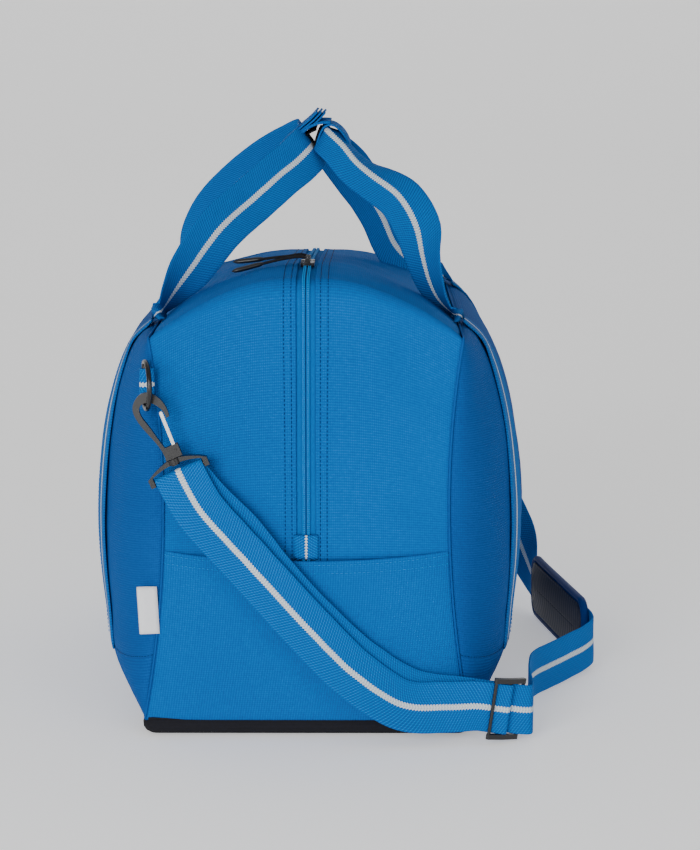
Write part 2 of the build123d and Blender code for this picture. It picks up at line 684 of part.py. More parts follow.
# The plane that the bars cross: x along the strap, y away from the bag.
crossing = Plane(origin=adjuster_origin, x_dir=adjuster_run, z_dir=adjuster_run.cross(Vector(0, -1, 0)))
bars = [(-RAIL_REACH, FRONT_BAR), (0, MIDDLE_BAR), (RAIL_REACH, BACK_BAR)]

with BuildPart() as adjuster:
    for side in (-1, 1):
        with BuildSketch(crossing.offset(side * (WEBBING / 2 + 0.8 + RAIL / 2))):
            with BuildLine():
                Polyline(*bars)
            trace(line_width=RAIL)
            with Locations(*bars):
                Circle(RAIL / 2)
        extrude(amount=RAIL / 2, both=True)
    with BuildSketch(crossing):
        with Locations(*bars):
            Circle(SMALL_BAR)
    extrude(amount=WEBBING / 2 + 2, both=True)
keep(adjuster, "strap_adjuster")

with BuildPart() as end_loop:
    with BuildSketch(crossing):
        with Locations((FRONT_LEAF_END / 2, FRONT_LEAF)):
            Rectangle(-FRONT_LEAF_END, PLY)
        with Locations((BACK_LEAF_END / 2, BACK_LEAF)):
            Rectangle(-BACK_LEAF_END, PLY)
        with Locations((0, MIDDLE_BAR)):
            Circle(FRONT_LEAF - MIDDLE_BAR + PLY / 2)
            Circle(FRONT_LEAF - MIDDLE_BAR - PLY / 2, mode=Mode.SUBTRACT)
        with Locations((-10, MIDDLE_BAR)):
            Rectangle(20, FRONT_LEAF - BACK_LEAF - PLY, mode=Mode.SUBTRACT)
    extrude(amount=WEBBING / 2, both=True)
keep(end_loop, "strap_end_loop")

# ---------------------------------------------------------------- shoulder pad
PAD_LENGTH = 205.0
PAD_WIDTH = 59.0
PAD_CORE = 4.0
GRIP_DEPTH = 1.4
BINDING = 2.6                # radius of the bound edge
KEEPER_LENGTH = 16.0
KEEPER_PLACES = (-62.0, 62.0)
KEEPER = 1.4                 # thickness of a keeper
PAD_FROM_BEND = 112.0        # from the far bend of the strap back to the middle of the pad
pad_end = Vector(SIDE_RUN[-1][0], BACK_Y + SIDE_RUN[-1][1], SIDE_RUN[-1][2])
pad_run = (pad_end - Vector(SIDE_RUN[-2][0], BACK_Y + SIDE_RUN[-2][1], SIDE_RUN[-2][2])).normalized()
pad_middle = pad_end - pad_run * PAD_FROM_BEND
pad_inward = Vector(-pad_run.Y, pad_run.X, 0)
# The plane of the pad's outer face: x along the strap, y up, z out from the bag towards the strap.
pad_face = Plane(origin=pad_middle + pad_inward * (PLY / 2 + SMALL_GAP), x_dir=pad_run, z_dir=-pad_inward)
PAD_SIZE = (PAD_LENGTH - 2 * BINDING, PAD_WIDTH - 2 * BINDING)

with BuildPart() as pad_core:
    with BuildSketch(pad_face):
        RectangleRounded(*PAD_SIZE, 16)
    extrude(amount=-PAD_CORE)
keep(pad_core, "pad_core")

with BuildPart() as pad_grip:
    with BuildSketch(pad_face.offset(-PAD_CORE)):
        RectangleRounded(PAD_SIZE[0] - 6, PAD_SIZE[1] - 6, 13)
    extrude(amount=-GRIP_DEPTH)
keep(pad_grip, "pad_grip")

with BuildPart() as pad_binding:
    with BuildSketch(pad_face):
        RectangleRounded(PAD_LENGTH, PAD_WIDTH, 18)
        RectangleRounded(*PAD_SIZE, 16, mode=Mode.SUBTRACT)
    extrude(amount=-PAD_CORE)
    with BuildSketch(pad_face.offset(-PAD_CORE)):
        RectangleRounded(PAD_LENGTH, PAD_WIDTH, 18)
        RectangleRounded(PAD_SIZE[0] - 5.4, PAD_SIZE[1] - 5.4, 13.3, mode=Mode.SUBTRACT)
    extrude(amount=-1.0)
keep(pad_binding, "pad_binding")

for end_name, place in zip(("near", "far"), KEEPER_PLACES):
    with BuildPart() as keeper:
        with BuildSketch(pad_face):
            with Locations((place, 0)):
                Rectangle(KEEPER_LENGTH, WEBBING + 14)
        extrude(amount=2 * SMALL_GAP + PLY + KEEPER)
        with BuildSketch(pad_face):
            with Locations((place, 0)):
                Rectangle(KEEPER_LENGTH, WEBBING + 4 * SMALL_GAP)
        extrude(amount=2 * SMALL_GAP + PLY, mode=Mode.SUBTRACT)
    keep(keeper, f"pad_keeper_{end_name}")

# ---------------------------------------------------------------- plain seam label
with BuildPart() as label_tag:
    with Locations((-126, -HALF_LENGTH - 1.1, 102)):
        Box(16, 0.9, 38)
    fillet(label_tag.edges().filter_by(Axis.Z).sort_by(Axis.X)[0], 0.3)
keep(label_tag, "seam_label")
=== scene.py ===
import bpy
from math import cos, exp, hypot, pi, radians, sin, sqrt
from mathutils import Euler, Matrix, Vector, noise


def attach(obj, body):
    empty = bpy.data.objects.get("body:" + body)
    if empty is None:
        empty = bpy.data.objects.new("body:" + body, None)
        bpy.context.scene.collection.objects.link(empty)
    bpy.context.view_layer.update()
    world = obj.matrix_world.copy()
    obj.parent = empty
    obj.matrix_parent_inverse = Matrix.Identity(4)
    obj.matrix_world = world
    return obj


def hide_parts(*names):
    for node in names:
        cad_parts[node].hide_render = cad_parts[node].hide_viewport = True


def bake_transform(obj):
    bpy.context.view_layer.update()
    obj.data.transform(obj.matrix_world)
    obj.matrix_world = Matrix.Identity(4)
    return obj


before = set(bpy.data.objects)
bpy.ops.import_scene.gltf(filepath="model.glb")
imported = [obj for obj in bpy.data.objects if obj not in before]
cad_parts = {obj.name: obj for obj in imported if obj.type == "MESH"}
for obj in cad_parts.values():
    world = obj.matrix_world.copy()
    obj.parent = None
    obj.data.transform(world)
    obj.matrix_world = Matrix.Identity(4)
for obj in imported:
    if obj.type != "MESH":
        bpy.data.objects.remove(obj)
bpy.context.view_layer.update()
MM = 0.001

# Lengths below are millimetres in the CAD frame: X right, Y from the near end to the far end, Z up.

# ---------------------------------------------------------------- form of the bag, as in the CAD model
HALF_LENGTH = 250.0
BASE_SEAM = 12.0             # height of the seam round the base
EAR = 318.0                  # height of a side's top edge, where end, side and top meet
WAIST = 112.0                # half the width of an end at its narrowest, and the height of that
WAIST_HEIGHT = 190.0
BASE_SPREAD = 17.0           # how much wider each half of an end is at the base and at the ears
EAR_SPREAD = 10.5
BELLY = 70.0                 # how far a packed side stands out at its middle
EAR_X = WAIST + EAR_SPREAD
TOP_NEAR, TOP_PEAK, TOP_FAR = 364.0, 368.0, 343.0     # heights of the zip along the top
PEAK_Y = -165.0
ZIP_GAP = 7.5                # from the middle of the zip to the gusset's folded edge
HEM = 142.0                  # height of a pocket's top edge at its middle
WEBBING = 40.0               # width of the webbing
PLY = 1.5                    # its thickness
PUFF = 4.0                   # how far a packed end stands out at its middle
POCKET_DEPTH = 8.0           # how far a pocket stands out from the end behind it

# Names and directions: a side along X, an end along Y.
SIDES = (("left", -1), ("right", 1))
ENDS = (("near", -1), ("far", 1))


def fullness(y):
    return max(0.0, 1 - abs(y / HALF_LENGTH) ** 2.5) ** 0.6


def end_half_width(z):
    if z < WAIST_HEIGHT:
        return WAIST + BASE_SPREAD * ((WAIST_HEIGHT - z) / (WAIST_HEIGHT - BASE_SEAM)) ** 2
    return WAIST + EAR_SPREAD * ((z - WAIST_HEIGHT) / (EAR - WAIST_HEIGHT)) ** 2


def half_width(y, z):
    rise = min(max((z - BASE_SEAM) / (EAR - BASE_SEAM), 0.0), 1.0)
    return end_half_width(z) + BELLY * fullness(y) * sqrt(max(sin(pi * rise), 0.0))


def band_top(y):
    return 65 - 18 * fullness(y)


def side_reach(y, z):
    """Distance of a side from the middle plane, with the low bulge of the packing above the base."""
    low = exp(-((z - 44) / 26) ** 2) * min(1.0, max(0.0, (z - BASE_SEAM) / 15))
    return half_width(y, z) + 6 * low * fullness(y) ** 0.7


def zip_height(y):
    if y < PEAK_Y:
        return TOP_PEAK + (TOP_NEAR - TOP_PEAK) * (PEAK_Y - y) / (HALF_LENGTH + PEAK_Y)
    return TOP_PEAK + (TOP_FAR - TOP_PEAK) * (y - PEAK_Y) / (HALF_LENGTH - PEAK_Y)


def top_height(x, y):
    return EAR + (zip_height(y) - EAR) * (1 - abs(x / EAR_X) ** 2.2)


def puff(x, z):
    """How far a packed end stands out from its flat plane."""
    across = max(0.0, 1 - abs(x / 115) ** 3)
    up = max(0.0, sin(pi * min(max((z - 20) / 330, 0), 1)))
    return PUFF * across * up


# ---------------------------------------------------------------- grids of points
def spaced(low, high, count):
    return [low + (high - low) * i / (count - 1) for i in range(count)]


def eased(low, high, count):
    """Values from low to high, closer together at both ends."""
    return [low + (high - low) * (1 - cos(pi * i / (count - 1))) / 2 for i in range(count)]


def smooth(points, step=6.0):
    """Values on a smooth curve through a list of tuples, each starting with a place. step is in mm."""
    first = [2 * a - b for a, b in zip(points[0], points[1])]
    last = [2 * a - b for a, b in zip(points[-1], points[-2])]
    line = [first, *points, last]
    knots = [0.0]
    for p, q in zip(line, line[1:]):
        knots.append(knots[-1] + max(sqrt(sum((a - b) ** 2 for a, b in zip(p[:3], q[:3]))), 0.01) ** 0.5)

    def between(p, q, low, high, t):
        return [(a * (high - t) + b * (t - low)) / (high - low) for a, b in zip(p, q)]

    out = []
    for i in range(1, len(line) - 2):
        p, q, r, w = line[i - 1:i + 3]
        a, b, c, d = knots[i - 1:i + 3]
        count = max(4, round((c - b) ** 2 / step))
        for k in range(count):
            t = b + (c - b) * k / count
            pq, qr, rw = between(p, q, a, b, t), between(q, r, b, c, t), between(r, w, c, d, t)
            out.append(between(between(pq, qr, a, c, t), between(qr, rw, b, d, t), b, c, t))
    return out + [list(points[-1])]


def normal_at(grid, i, j):
    """The direction out of a grid of points at one of them."""
    down = grid[min(i + 1, len(grid) - 1)][j] - grid[max(i - 1, 0)][j]
    along = grid[i][min(j + 1, len(grid[i]) - 1)] - grid[i][max(j - 1, 0)]
    return along.cross(down).normalized()


def softened(grid, outward, lumps, pinch=0.0, folds=None, sewn="first last top bottom"):
    """A grid with the uneven surface of packed fabric, drawn in along its sewn edges."""
    moved = []
    for i, line in enumerate(grid):
        row = []
        for j, point in enumerate(line):
            face = normal_at(grid, i, j) * outward
            edges = {"first": line[0], "last": line[-1], "top": grid[-1][j], "bottom": grid[0][j]}
            gaps = {name: (point - place).length for name, place in edges.items()}
            free = 1 - exp(-min(gaps.values()) / 14)
            rise = lumps * free * (noise.noise(point / 62) + 0.35 * noise.noise(point / 21))
            rise -= pinch * exp(-min([gaps[name] for name in sewn.split()] or [99]) / 3.2)
            if folds:
                rise += folds(point) * free
            row.append(point + face * rise)
        moved.append(row)
    return moved


def line_at(grid, share):
    """The line that runs down a grid at a share of the way across it, with its outward directions."""
    place = share * (len(grid[0]) - 1)
    j = min(int(place), len(grid[0]) - 2)
    return [(row[j].lerp(row[j + 1], place - j), normal_at(grid, i, j)) for i, row in enumerate(grid)]


def line_across(grid, i):
    """One row of a grid, with its outward directions."""
    return [(point, normal_at(grid, i, j)) for j, point in enumerate(grid[i])]


def size_of(grid):
    """The flat width and length of a grid, in metres, along its middle row and column."""
    middle = grid[len(grid) // 2]
    width = sum((b - a).length for a, b in zip(middle, middle[1:]))
    j = len(middle) // 2
    length = sum((b[j] - a[j]).length for a, b in zip(grid, grid[1:]))
    return width * MM, length * MM


# ---------------------------------------------------------------- meshes
def mesh_object(name, points, faces, material, uv=None):
    mesh = bpy.data.meshes.new(name)
    mesh.from_pydata([p * MM for p in points], [], faces)
    mesh.materials.append(material)
    if uv:
        layer = mesh.uv_layers.new(name="cloth")
        for loop in mesh.loops:
            layer.data[loop.index].uv = uv[loop.vertex_index]
    mesh.validate()
    for polygon in mesh.polygons:
        polygon.use_smooth = True
    obj = bpy.data.objects.new(name, mesh)
    bpy.context.collection.objects.link(obj)
    return obj


def cloth(name, grid, material, thickness=1.5, outward=1, centred=False):
    """A sheet of cloth over a grid, its texture laid out in metres along and across it."""
    points = [p for row in grid for p in row]
    columns = len(grid[0])
    faces = []
    for i in range(len(grid) - 1):
        for j in range(columns - 1):
            a = i * columns + j
            face = (a, a + columns, a + columns + 1, a + 1)
            faces.append(face if outward < 0 else face[::-1])
    middle = columns // 2
    down = 0.0
    uv = []
    for i, row in enumerate(grid):
        if i:
            down += (row[middle] - grid[i - 1][middle]).length * MM
        places = [0.0]
        for a, b in zip(row, row[1:]):
            places.append(places[-1] + (b - a).length * MM)
        shift = places[-1] / 2 if centred else 0.0
        uv += [(place - shift, down) for place in places]
    obj = mesh_object(name, points, faces, material, uv)
    solid = obj.modifiers.new("cloth", "SOLIDIFY")
    solid.thickness = thickness * MM
    solid.offset = -1
    return obj


def webbing(name, stations, material, width=WEBBING, depth=PLY, step=6.0):
    """Flat webbing with rounded edges, and its flat size in metres.

    A station is a place, a direction across the webbing and, where a half is curled, the curl in degrees.
    """
    line = smooth([(*place, *edge, *(curl or [0.0])) for place, edge, *curl in stations], step)
    places = [Vector(values[:3]) for values in line]
    half, thin = width / 2, depth / 2
    section = [(-half, 0.35 * thin), (-half + 0.5, thin)]
    section += [(u, thin) for u in spaced(-half * 0.85, half * 0.85, 13)]
    section += [(half - 0.5, thin), (half, 0.35 * thin)]
    section += [(u, -v) for u, v in reversed(section)]
    points, uv, faces = [], [], []
    run = 0.0
    for i, place in enumerate(places):
        if i:
            run += (place - places[i - 1]).length
        along = (places[min(i + 1, len(places) - 1)] - places[max(i - 1, 0)]).normalized()
        edge = Vector(line[i][3:6])
        curl = radians(line[i][6])
        edge = (edge - along * edge.dot(along)).normalized()
        face = edge.cross(along)
        sway = 0.35 * noise.noise(Vector((run / 17, len(name), 0)))
        for u, v in section:
            cup = 0.5 * noise.noise(Vector((run / 45, 3.7, u / 25)))
            bent = curl * min(1.0, max(0.0, (u - 0.5) / 4))
            reach = edge * cos(bent) + face * sin(bent)
            out = face * cos(bent) - edge * sin(bent)
            points.append(place + edge * sway + reach * u + out * (v + cup))
            uv.append((u * MM, run * MM))
    count = len(section)
    for i in range(len(places) - 1):
        for j in range(count):
            k = (j + 1) % count
            faces.append((i * count + j, i * count + k, (i + 1) * count + k, (i + 1) * count + j))
    faces.append(tuple(range(count))[::-1])
    faces.append(tuple((len(places) - 1) * count + j for j in range(count)))
    return mesh_object(name, points, faces, material, uv), (width * MM, run * MM)


def tube(name, route, radii, material, flat=1.0, sides=10):
    """A round or flattened strand along a route, with a radius at each of its points."""
    points, faces = [], []
    start = (route[1] - route[0]).normalized()
    across = Vector((0, 1, 0)) if abs(start.x) > 0.7 else Vector((1, 0, 0))
    for i, (place, radius) in enumerate(zip(route, radii)):
        along = (route[min(i + 1, len(route) - 1)] - route[max(i - 1, 0)]).normalized()
        across = (across - along * across.dot(along)).normalized()
        up = across.cross(along)
        for k in range(sides):
            turn = 2 * pi * k / sides
            points.append(place + across * radius * cos(turn) + up * radius * flat * sin(turn))
    for i in range(len(route) - 1):
        for k in range(sides):
            n = (k + 1) % sides
            faces.append((i * sides + k, i * sides + n, (i + 1) * sides + n, (i + 1) * sides + k))
    faces.append(tuple(range(sides))[::-1])
    faces.append(tuple((len(route) - 1) * sides + k for k in range(sides)))
    return mesh_object(name, points, faces, material)


# One stitch: places along it, as shares of its length, with its thickness there.
STITCH_SHAPE = ((-0.5, 0.15), (-0.38, 0.8), (0.0, 1.0), (0.38, 0.8), (0.5, 0.15))


def stitches(name, runs, material, length=2.6, pitch=3.6, radius=0.32):
    """Sewn stitches along lines of points with outward directions, half sunk in the cloth."""
    points, faces = [], []
    for run in runs:
        walked, due = 0.0, pitch / 2
        for (a, up_a), (b, up_b) in zip(run, run[1:]):
            step = (b - a).length
            while step and walked + step >= due:
                share = (due - walked) / step
                place = a.lerp(b, share)
                along = (b - a).normalized()
                up = up_a.lerp(up_b, share).normalized()
                side = along.cross(up).normalized()
                first = len(points)
                for part, size in STITCH_SHAPE:
                    centre = place + along * part * length + up * (0.25 * size - 0.1) * radius * 2
                    for k in range(6):
                        turn = pi * k / 3
                        out = side * cos(turn) + up * sin(turn)
                        points.append(centre + out * radius * size)
                for ring in range(4):
                    for k in range(6):
                        n = (k + 1) % 6
                        low = first + ring * 6
                        faces.append((low + k, low + n, low + 6 + n, low + 6 + k))
                faces.append(tuple(first + k for k in range(6))[::-1])
                faces.append(tuple(first + 24 + k for k in range(6)))
                due += pitch
            walked += step
    return mesh_object(name, points, faces, material)


# ---------------------------------------------------------------- materials
class Surface:
    """A node material, built from small maths steps."""

    def __init__(self, name, roughness, **constants):
        self.material = bpy.data.materials.new(name)
        self.material.use_nodes = True
        self.tree = self.material.node_tree
        self.shader = self.tree.nodes["Principled BSDF"]
        self.shader.inputs["Roughness"].default_value = roughness
        for key, value in constants.items():
            self.shader.inputs[key.replace("_", " ")].default_value = value

    def put(self, socket, value):
        """Link another node's output into a socket, or set the socket to a constant."""
        if isinstance(value, bpy.types.NodeSocket):
            self.tree.links.new(value, socket)
        else:
            socket.default_value = value

    def node(self, kind, values=(), **settings):
        made = self.tree.nodes.new(kind)
        for key, value in settings.items():
            setattr(made, key, value)
        for key, value in dict(values).items():
            self.put(made.inputs[key], value)
        return made

    def maths(self, operation, *values):
        made = self.node("ShaderNodeMath", operation=operation)
        for socket, value in zip(made.inputs, values):
            self.put(socket, value)
        return made.outputs[0]

    def wave(self, place, pitch, phase=0.0):
        """A sine from 0 to 1 along a place, with a pitch in metres."""
        turn = self.maths("ADD", self.maths("MULTIPLY", place, 2 * pi / pitch), phase)
        return self.maths("MULTIPLY_ADD", self.maths("SINE", turn), 0.5, 0.5)

    def blend(self, share, low, high):
        """A mix of two colours, each a constant or an output."""
        made = self.node("ShaderNodeMix", data_type="RGBA")
        self.put(made.inputs["Factor"], share)
        for socket, value in ((made.inputs[6], low), (made.inputs[7], high)):
            if isinstance(value, bpy.types.NodeSocket):
                self.put(socket, value)
            else:
                socket.default_value = (*value, 1)
        return made.outputs[2]

    def patches(self, scale, detail=3.0):
        """Slow noise over the surface, from 0 to 1."""
        place = self.node("ShaderNodeTexCoord").outputs["Object"]
        noise_node = self.node("ShaderNodeTexNoise", {"Vector": place, "Scale": scale, "Detail": detail})
        return noise_node.outputs[0]

    def layout(self):
        """Places across and along the cloth, in metres."""
        split = self.node("ShaderNodeSeparateXYZ")
        self.tree.links.new(self.node("ShaderNodeUVMap", uv_map="cloth").outputs[0], split.inputs[0])
        return split.outputs[0], split.outputs[1]

    def finish(self, colour, height=None, depth=0.2, strength=0.6):
        """Give the surface its colour and, from a height, its relief with a depth in mm."""
        self.put(self.shader.inputs["Base Color"], colour)
        if height is not None:
            values = {"Height": height, "Strength": strength, "Distance": depth * MM}
            bump = self.node("ShaderNodeBump", values)
            self.tree.links.new(bump.outputs[0], self.shader.inputs["Normal"])
        return self.material


def srgb(red, green, blue):
    """A colour from its display values, 0 to 255."""
    shares = [v / 255 for v in (red, green, blue)]
    return tuple(((v + 0.055) / 1.055) ** 2.4 if v > 10 / 255 else v / 12.92 for v in shares)


def plain_weave(name, dark, light, rib=1.5, across=1.1, upright=False, roughness=0.82, depth=0.42):
    """Polyester with a rib one way and fine threads the other."""
    look = Surface(name, roughness, Specular_IOR_Level=0.08)
    u, v = look.layout()
    if upright:
        u, v = v, u
    slub = look.patches(420.0, 2.0)
    ribs = look.wave(v, rib * MM, look.maths("MULTIPLY", slub, 0.9))
    threads = look.wave(u, across * MM)
    height = look.maths("MULTIPLY_ADD", ribs, 0.62, look.maths("MULTIPLY", threads, 0.38))
    shade = look.maths("MULTIPLY_ADD", slub, 0.45, look.maths("MULTIPLY", height, 0.55))
    fine = look.blend(shade, dark, light)
    wear = look.blend(look.patches(9.0), tuple(c * 0.92 for c in dark), light)
    colour = look.blend(0.22, fine, wear)
    return look.finish(colour, height, depth)


def striped_webbing(name, half_stripe=2.2, ground=((0.0, 0.045, 0.22), (0.0, 0.18, 0.56))):
    """Ribbed webbing in a chevron weave with a pale centre stripe whose edges are stepped."""
    look = Surface(name, 0.75, Specular_IOR_Level=0.08)
    u, v = look.layout()
    off_centre = look.maths("ABSOLUTE", u)
    slant = look.maths("MULTIPLY_ADD", off_centre, 0.55, v)
    ribs = look.wave(slant, 2.3 * MM)
    threads = look.wave(u, 1.9 * MM)
    height = look.maths("MULTIPLY_ADD", ribs, 0.7, look.maths("MULTIPLY", threads, 0.3))
    step = look.maths("MULTIPLY_ADD", look.wave(v, 2.4 * MM), 0.8 * MM, off_centre)
    stripe = look.maths("LESS_THAN", step, (half_stripe + 0.4) * MM)
    cloth_colour = look.blend(height, *ground)
    pale = look.blend(height, srgb(165, 180, 190), srgb(222, 229, 232))
    colour = look.blend(stripe, cloth_colour, pale)
    aged = look.blend(look.patches(14.0), (0.0, 0.07, 0.28), (0.0, 0.16, 0.52))
    beside = look.maths("MULTIPLY", look.maths("SUBTRACT", 1, stripe), 0.22)
    return look.finish(look.blend(beside, colour, aged), height, 0.45, 0.8)


def moulded(name, colour, roughness=0.38, grain=0.05):
    """Moulded plastic with a fine spark texture."""
    look = Surface(name, roughness, Specular_IOR_Level=0.5)
    speckle = look.patches(1400.0, 2.0)
    tone = look.blend(look.patches(30.0), tuple(c * 0.8 for c in colour), tuple(c * 1.3 for c in colour))
    return look.finish(tone, speckle, grain, 0.5)


def metal(name, colour, roughness):
    """Plain metal with fine drawn marks."""
    look = Surface(name, roughness, Metallic=1.0)
    marks = look.patches(900.0, 2.0)
    return look.finish(look.blend(marks, tuple(c * 0.85 for c in colour), colour), marks, 0.02, 0.3)


def thread(name, colour):
    """Twisted sewing thread."""
    look = Surface(name, 0.6, Specular_IOR_Level=0.15)
    twist = look.patches(2600.0, 1.0)
    return look.finish(look.blend(twist, tuple(c * 0.75 for c in colour), colour), twist, 0.1, 0.4)


def ribbed_rubber():
    """Matt rubber with a fine pebble grain."""
    look = Surface("pad_rubber", 0.55, Specular_IOR_Level=0.45)
    grain = look.patches(700.0, 3.0)
    return look.finish(look.blend(grain, srgb(22, 25, 40), srgb(36, 40, 58)), grain, 0.1, 0.5)


DEEP_BLUE = (0.0, 0.045, 0.22)
BRIGHT_BLUE = (0.0, 0.165, 0.54)
BLACK = (0.006, 0.006, 0.007)
LACQUER = (0.005, 0.005, 0.006)

GUSSET_CLOTH = plain_weave("gusset_cloth", DEEP_BLUE, BRIGHT_BLUE, rib=2.1, across=1.7)
SIDE_CLOTH = plain_weave("side_cloth", (0.0, 0.035, 0.175), (0.0, 0.11, 0.41), rib=2.0, across=1.7)
POCKET_CLOTH = plain_weave("pocket_cloth", DEEP_BLUE, BRIGHT_BLUE, rib=2.0, across=1.7, upright=True)
BASE_CLOTH = plain_weave("base_cloth", srgb(18, 18, 22), srgb(38, 38, 44), rib=1.2, roughness=0.7)
ZIP_CLOTH = plain_weave("zip_cloth", (0.0, 0.085, 0.32), (0.0, 0.17, 0.54), rib=0.9, across=0.8)
LINING_CLOTH = plain_weave("lining_cloth", srgb(0, 60, 120), srgb(6, 84, 150), rib=1.0)
LABEL_CLOTH = plain_weave("label_cloth", srgb(214, 216, 220), srgb(240, 240, 242), 0.7, 0.7, depth=0.08)
WEBBING_CLOTH = striped_webbing("striped_webbing")
TAB_CLOTH = striped_webbing("tab_webbing", 0.8)
LOOP_CLOTH = striped_webbing("loop_webbing", 1.6)
PAD_CLOTH = plain_weave("pad_cloth", srgb(4, 40, 96), srgb(14, 62, 130), rib=1.1)
BINDING_CLOTH = plain_weave("binding_cloth", srgb(2, 34, 88), srgb(12, 58, 128), rib=0.9, roughness=0.5)
HOOK_TAPE = plain_weave("hook_tape", srgb(8, 8, 12), srgb(26, 26, 32), 1.6, 1.6, depth=0.6)
PULL_BRAID = plain_weave("pull_braid", srgb(10, 10, 13), srgb(34, 34, 38), rib=1.0, depth=0.3, roughness=0.6)
BLACK_PLASTIC = moulded("black_plastic", BLACK, 0.36)
BLACK_LACQUER = moulded("black_lacquer", LACQUER, 0.26, 0.02)
STEEL = metal("gate_steel", (0.62, 0.62, 0.6), 0.25)
PAD_RUBBER = ribbed_rubber()
DARK_THREAD = thread("dark_thread", (0.0, 0.014, 0.07))
BLUE_THREAD = thread("blue_thread", (0.0, 0.21, 0.62))
COIL_THREAD = thread("coil_thread", (0.0, 0.27, 0.68))
BOARD_GREY = moulded("board_grey", srgb(120, 122, 126), 0.6, 0.1)
ZIP_DARK = moulded("zip_shadow", srgb(6, 30, 64), 0.7, 0.02)


# ---------------------------------------------------------------- end and top of the zip gusset
FACE_ROWS, FOLD_ROWS, TOP_ROWS = 30, 7, 66      # rows of points up an end, round its fold, along the top


def fold_radius(x):
    """Radius of the soft fold where an end turns over into the top, tighter towards the ears."""
    return 3 + 13 * (1 - (abs(x) / EAR_X) ** 2)


def over_end(end, place, start):
    """Points up an end and round its fold. place gives the distance from the zip at a height."""
    top = top_height(place(EAR), end * HALF_LENGTH)
    radius = fold_radius(place(EAR))
    out = []
    for z in spaced(start, top - radius, FACE_ROWS):
        x = place(z)
        out.append((x, end * (HALF_LENGTH + puff(x, z)), z))
    lip = end * puff(place(EAR), top - radius)
    for k in range(1, FOLD_ROWS):
        turn = pi / 2 * k / FOLD_ROWS
        share = 1 - k / FOLD_ROWS
        y = end * (HALF_LENGTH - radius + radius * cos(turn)) + lip * share
        out.append((place(EAR), y, top - radius + radius * sin(turn)))
    return out


def settle(x, y):
    """How far the top sags just behind each end's fold, and between the handles."""
    beside = 1 - exp(-abs(x) / 30)
    valley = sum(exp(-((y - end * 226) / 13) ** 2) for end in (-1, 1))
    return beside * (3.2 * valley + 1.2 * (1 - (y / HALF_LENGTH) ** 2))


def gusset_line(side, place, drop=0.0, start=HEM):
    """Points from the near pocket over the top to the far pocket, at a distance beside the zip."""
    radius = fold_radius(place(EAR))
    near = over_end(-1, place, start)
    far = over_end(1, place, start)
    reach = HALF_LENGTH - radius
    x = place(EAR)
    top = [(x, y, top_height(x, y) - settle(x, y)) for y in spaced(-reach, reach, TOP_ROWS)]
    line = [Vector(p) for p in near + top + far[::-1]]
    out = []
    for i, point in enumerate(line):
        along = line[min(i + 1, len(line) - 1)] - line[max(i - 1, 0)]
        inward = Vector((0, along.z, -along.y)).normalized()
        moved = point + inward * drop
        out.append(Vector((side * moved.x, moved.y, moved.z)))
    return out


def beside_zip(distance):
    return lambda z: distance


def towards_seam(share):
    """Distance from the zip that reaches the side seam at share 1, at any height."""
    return lambda z: ZIP_GAP + (end_half_width(min(z, EAR)) - ZIP_GAP) * share


def gusset_folds(point):
    """Soft folds: a dent inside each ear, and slack beside the zip."""
    dent = exp(-((abs(point.x) - 88) / 24) ** 2 - ((point.z - 292) / 26) ** 2)
    slack = sin(point.z / 19 + abs(point.x) / 14) * exp(-((abs(point.x) - 60) / 40) ** 2)
    drag = 0.0
    for low_z, slope, depth in ((176, -0.35, 1.5), (204, -0.3, 1.1), (232, 0.25, 1.0)):
        off = point.z - low_z - slope * (abs(point.x) - 60) + 4 * sin(abs(point.x) / 17)
        crease = exp(-(off / 5) ** 2) - 0.6 * exp(-((off + 9) / 7) ** 2)
        drag += depth * crease * exp(-((abs(point.x) - 82) / 34) ** 2)
    return -2.2 * dent + 0.6 * slack + drag


def turned(grid):
    """A grid with its rows and columns exchanged."""
    return [list(row) for row in zip(*grid)]


def place_piece(obj, body, slot, *nodes):
    """Hang a piece on its body and hide the CAD nodes it stands for. The slot argument, the material slot it
    belongs to, is not used.
    """
    if body:
        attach(obj, body)
    if nodes:
        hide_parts(*nodes)
    return obj


FOLDED_EDGE = ((1.5, 2.2), (0.1, 1.3), (0.0, 0.4), (0.5, -0.2))     # past the zip gap, and below the face
GUSSET_ROWS = (11.5, 17.3)      # distances of the two stitch rows from the middle of the zip


def make_gusset(side_name, side):
    columns = [gusset_line(side, beside_zip(ZIP_GAP + past), drop) for past, drop in FOLDED_EDGE]
    columns += [gusset_line(side, towards_seam(share)) for share in eased(0.02, 1.0, 34)]
    grid = softened(turned(columns), side, 2.2, 1.3, gusset_folds, "last")
    gusset = cloth(f"gusset_cloth_{side_name}", grid, GUSSET_CLOTH, 1.4, side)
    place_piece(gusset, "root", "panel_fabric", f"zip_gusset_{side_name}")
    lines = []
    middle = [abs(p.x) for p in grid[len(grid) // 2]]
    for distance in GUSSET_ROWS:
        j = next(k for k in range(4, len(middle) - 1) if middle[k + 1] > distance)
        place = j + (distance - middle[j]) / (middle[j + 1] - middle[j])
        line = line_at(grid, place / (len(middle) - 1))
        lines.append([(p + up * side * 0.15, up * side) for p, up in line])
    rows = stitches(f"gusset_stitches_{side_name}", lines, DARK_THREAD, 2.4, 3.4, 0.32)
    place_piece(rows, "root", "panel_fabric")


for side_name, side in SIDES:
    make_gusset(side_name, side)

# ---------------------------------------------------------------- side panels and their lower bands
PANEL_COLUMNS = 64


def side_folds(point):
    """Hollows below the ears and soft slanting folds where the packing pushes the side out."""
    hollow = exp(-((abs(point.y) - 205) / 30) ** 2 - ((point.z - 280) / 26) ** 2)
    slack = sin(point.y / 26 + point.z / 34) * exp(-((abs(point.y) - 190) / 45) ** 2)
    return -2.0 * hollow + 0.9 * slack


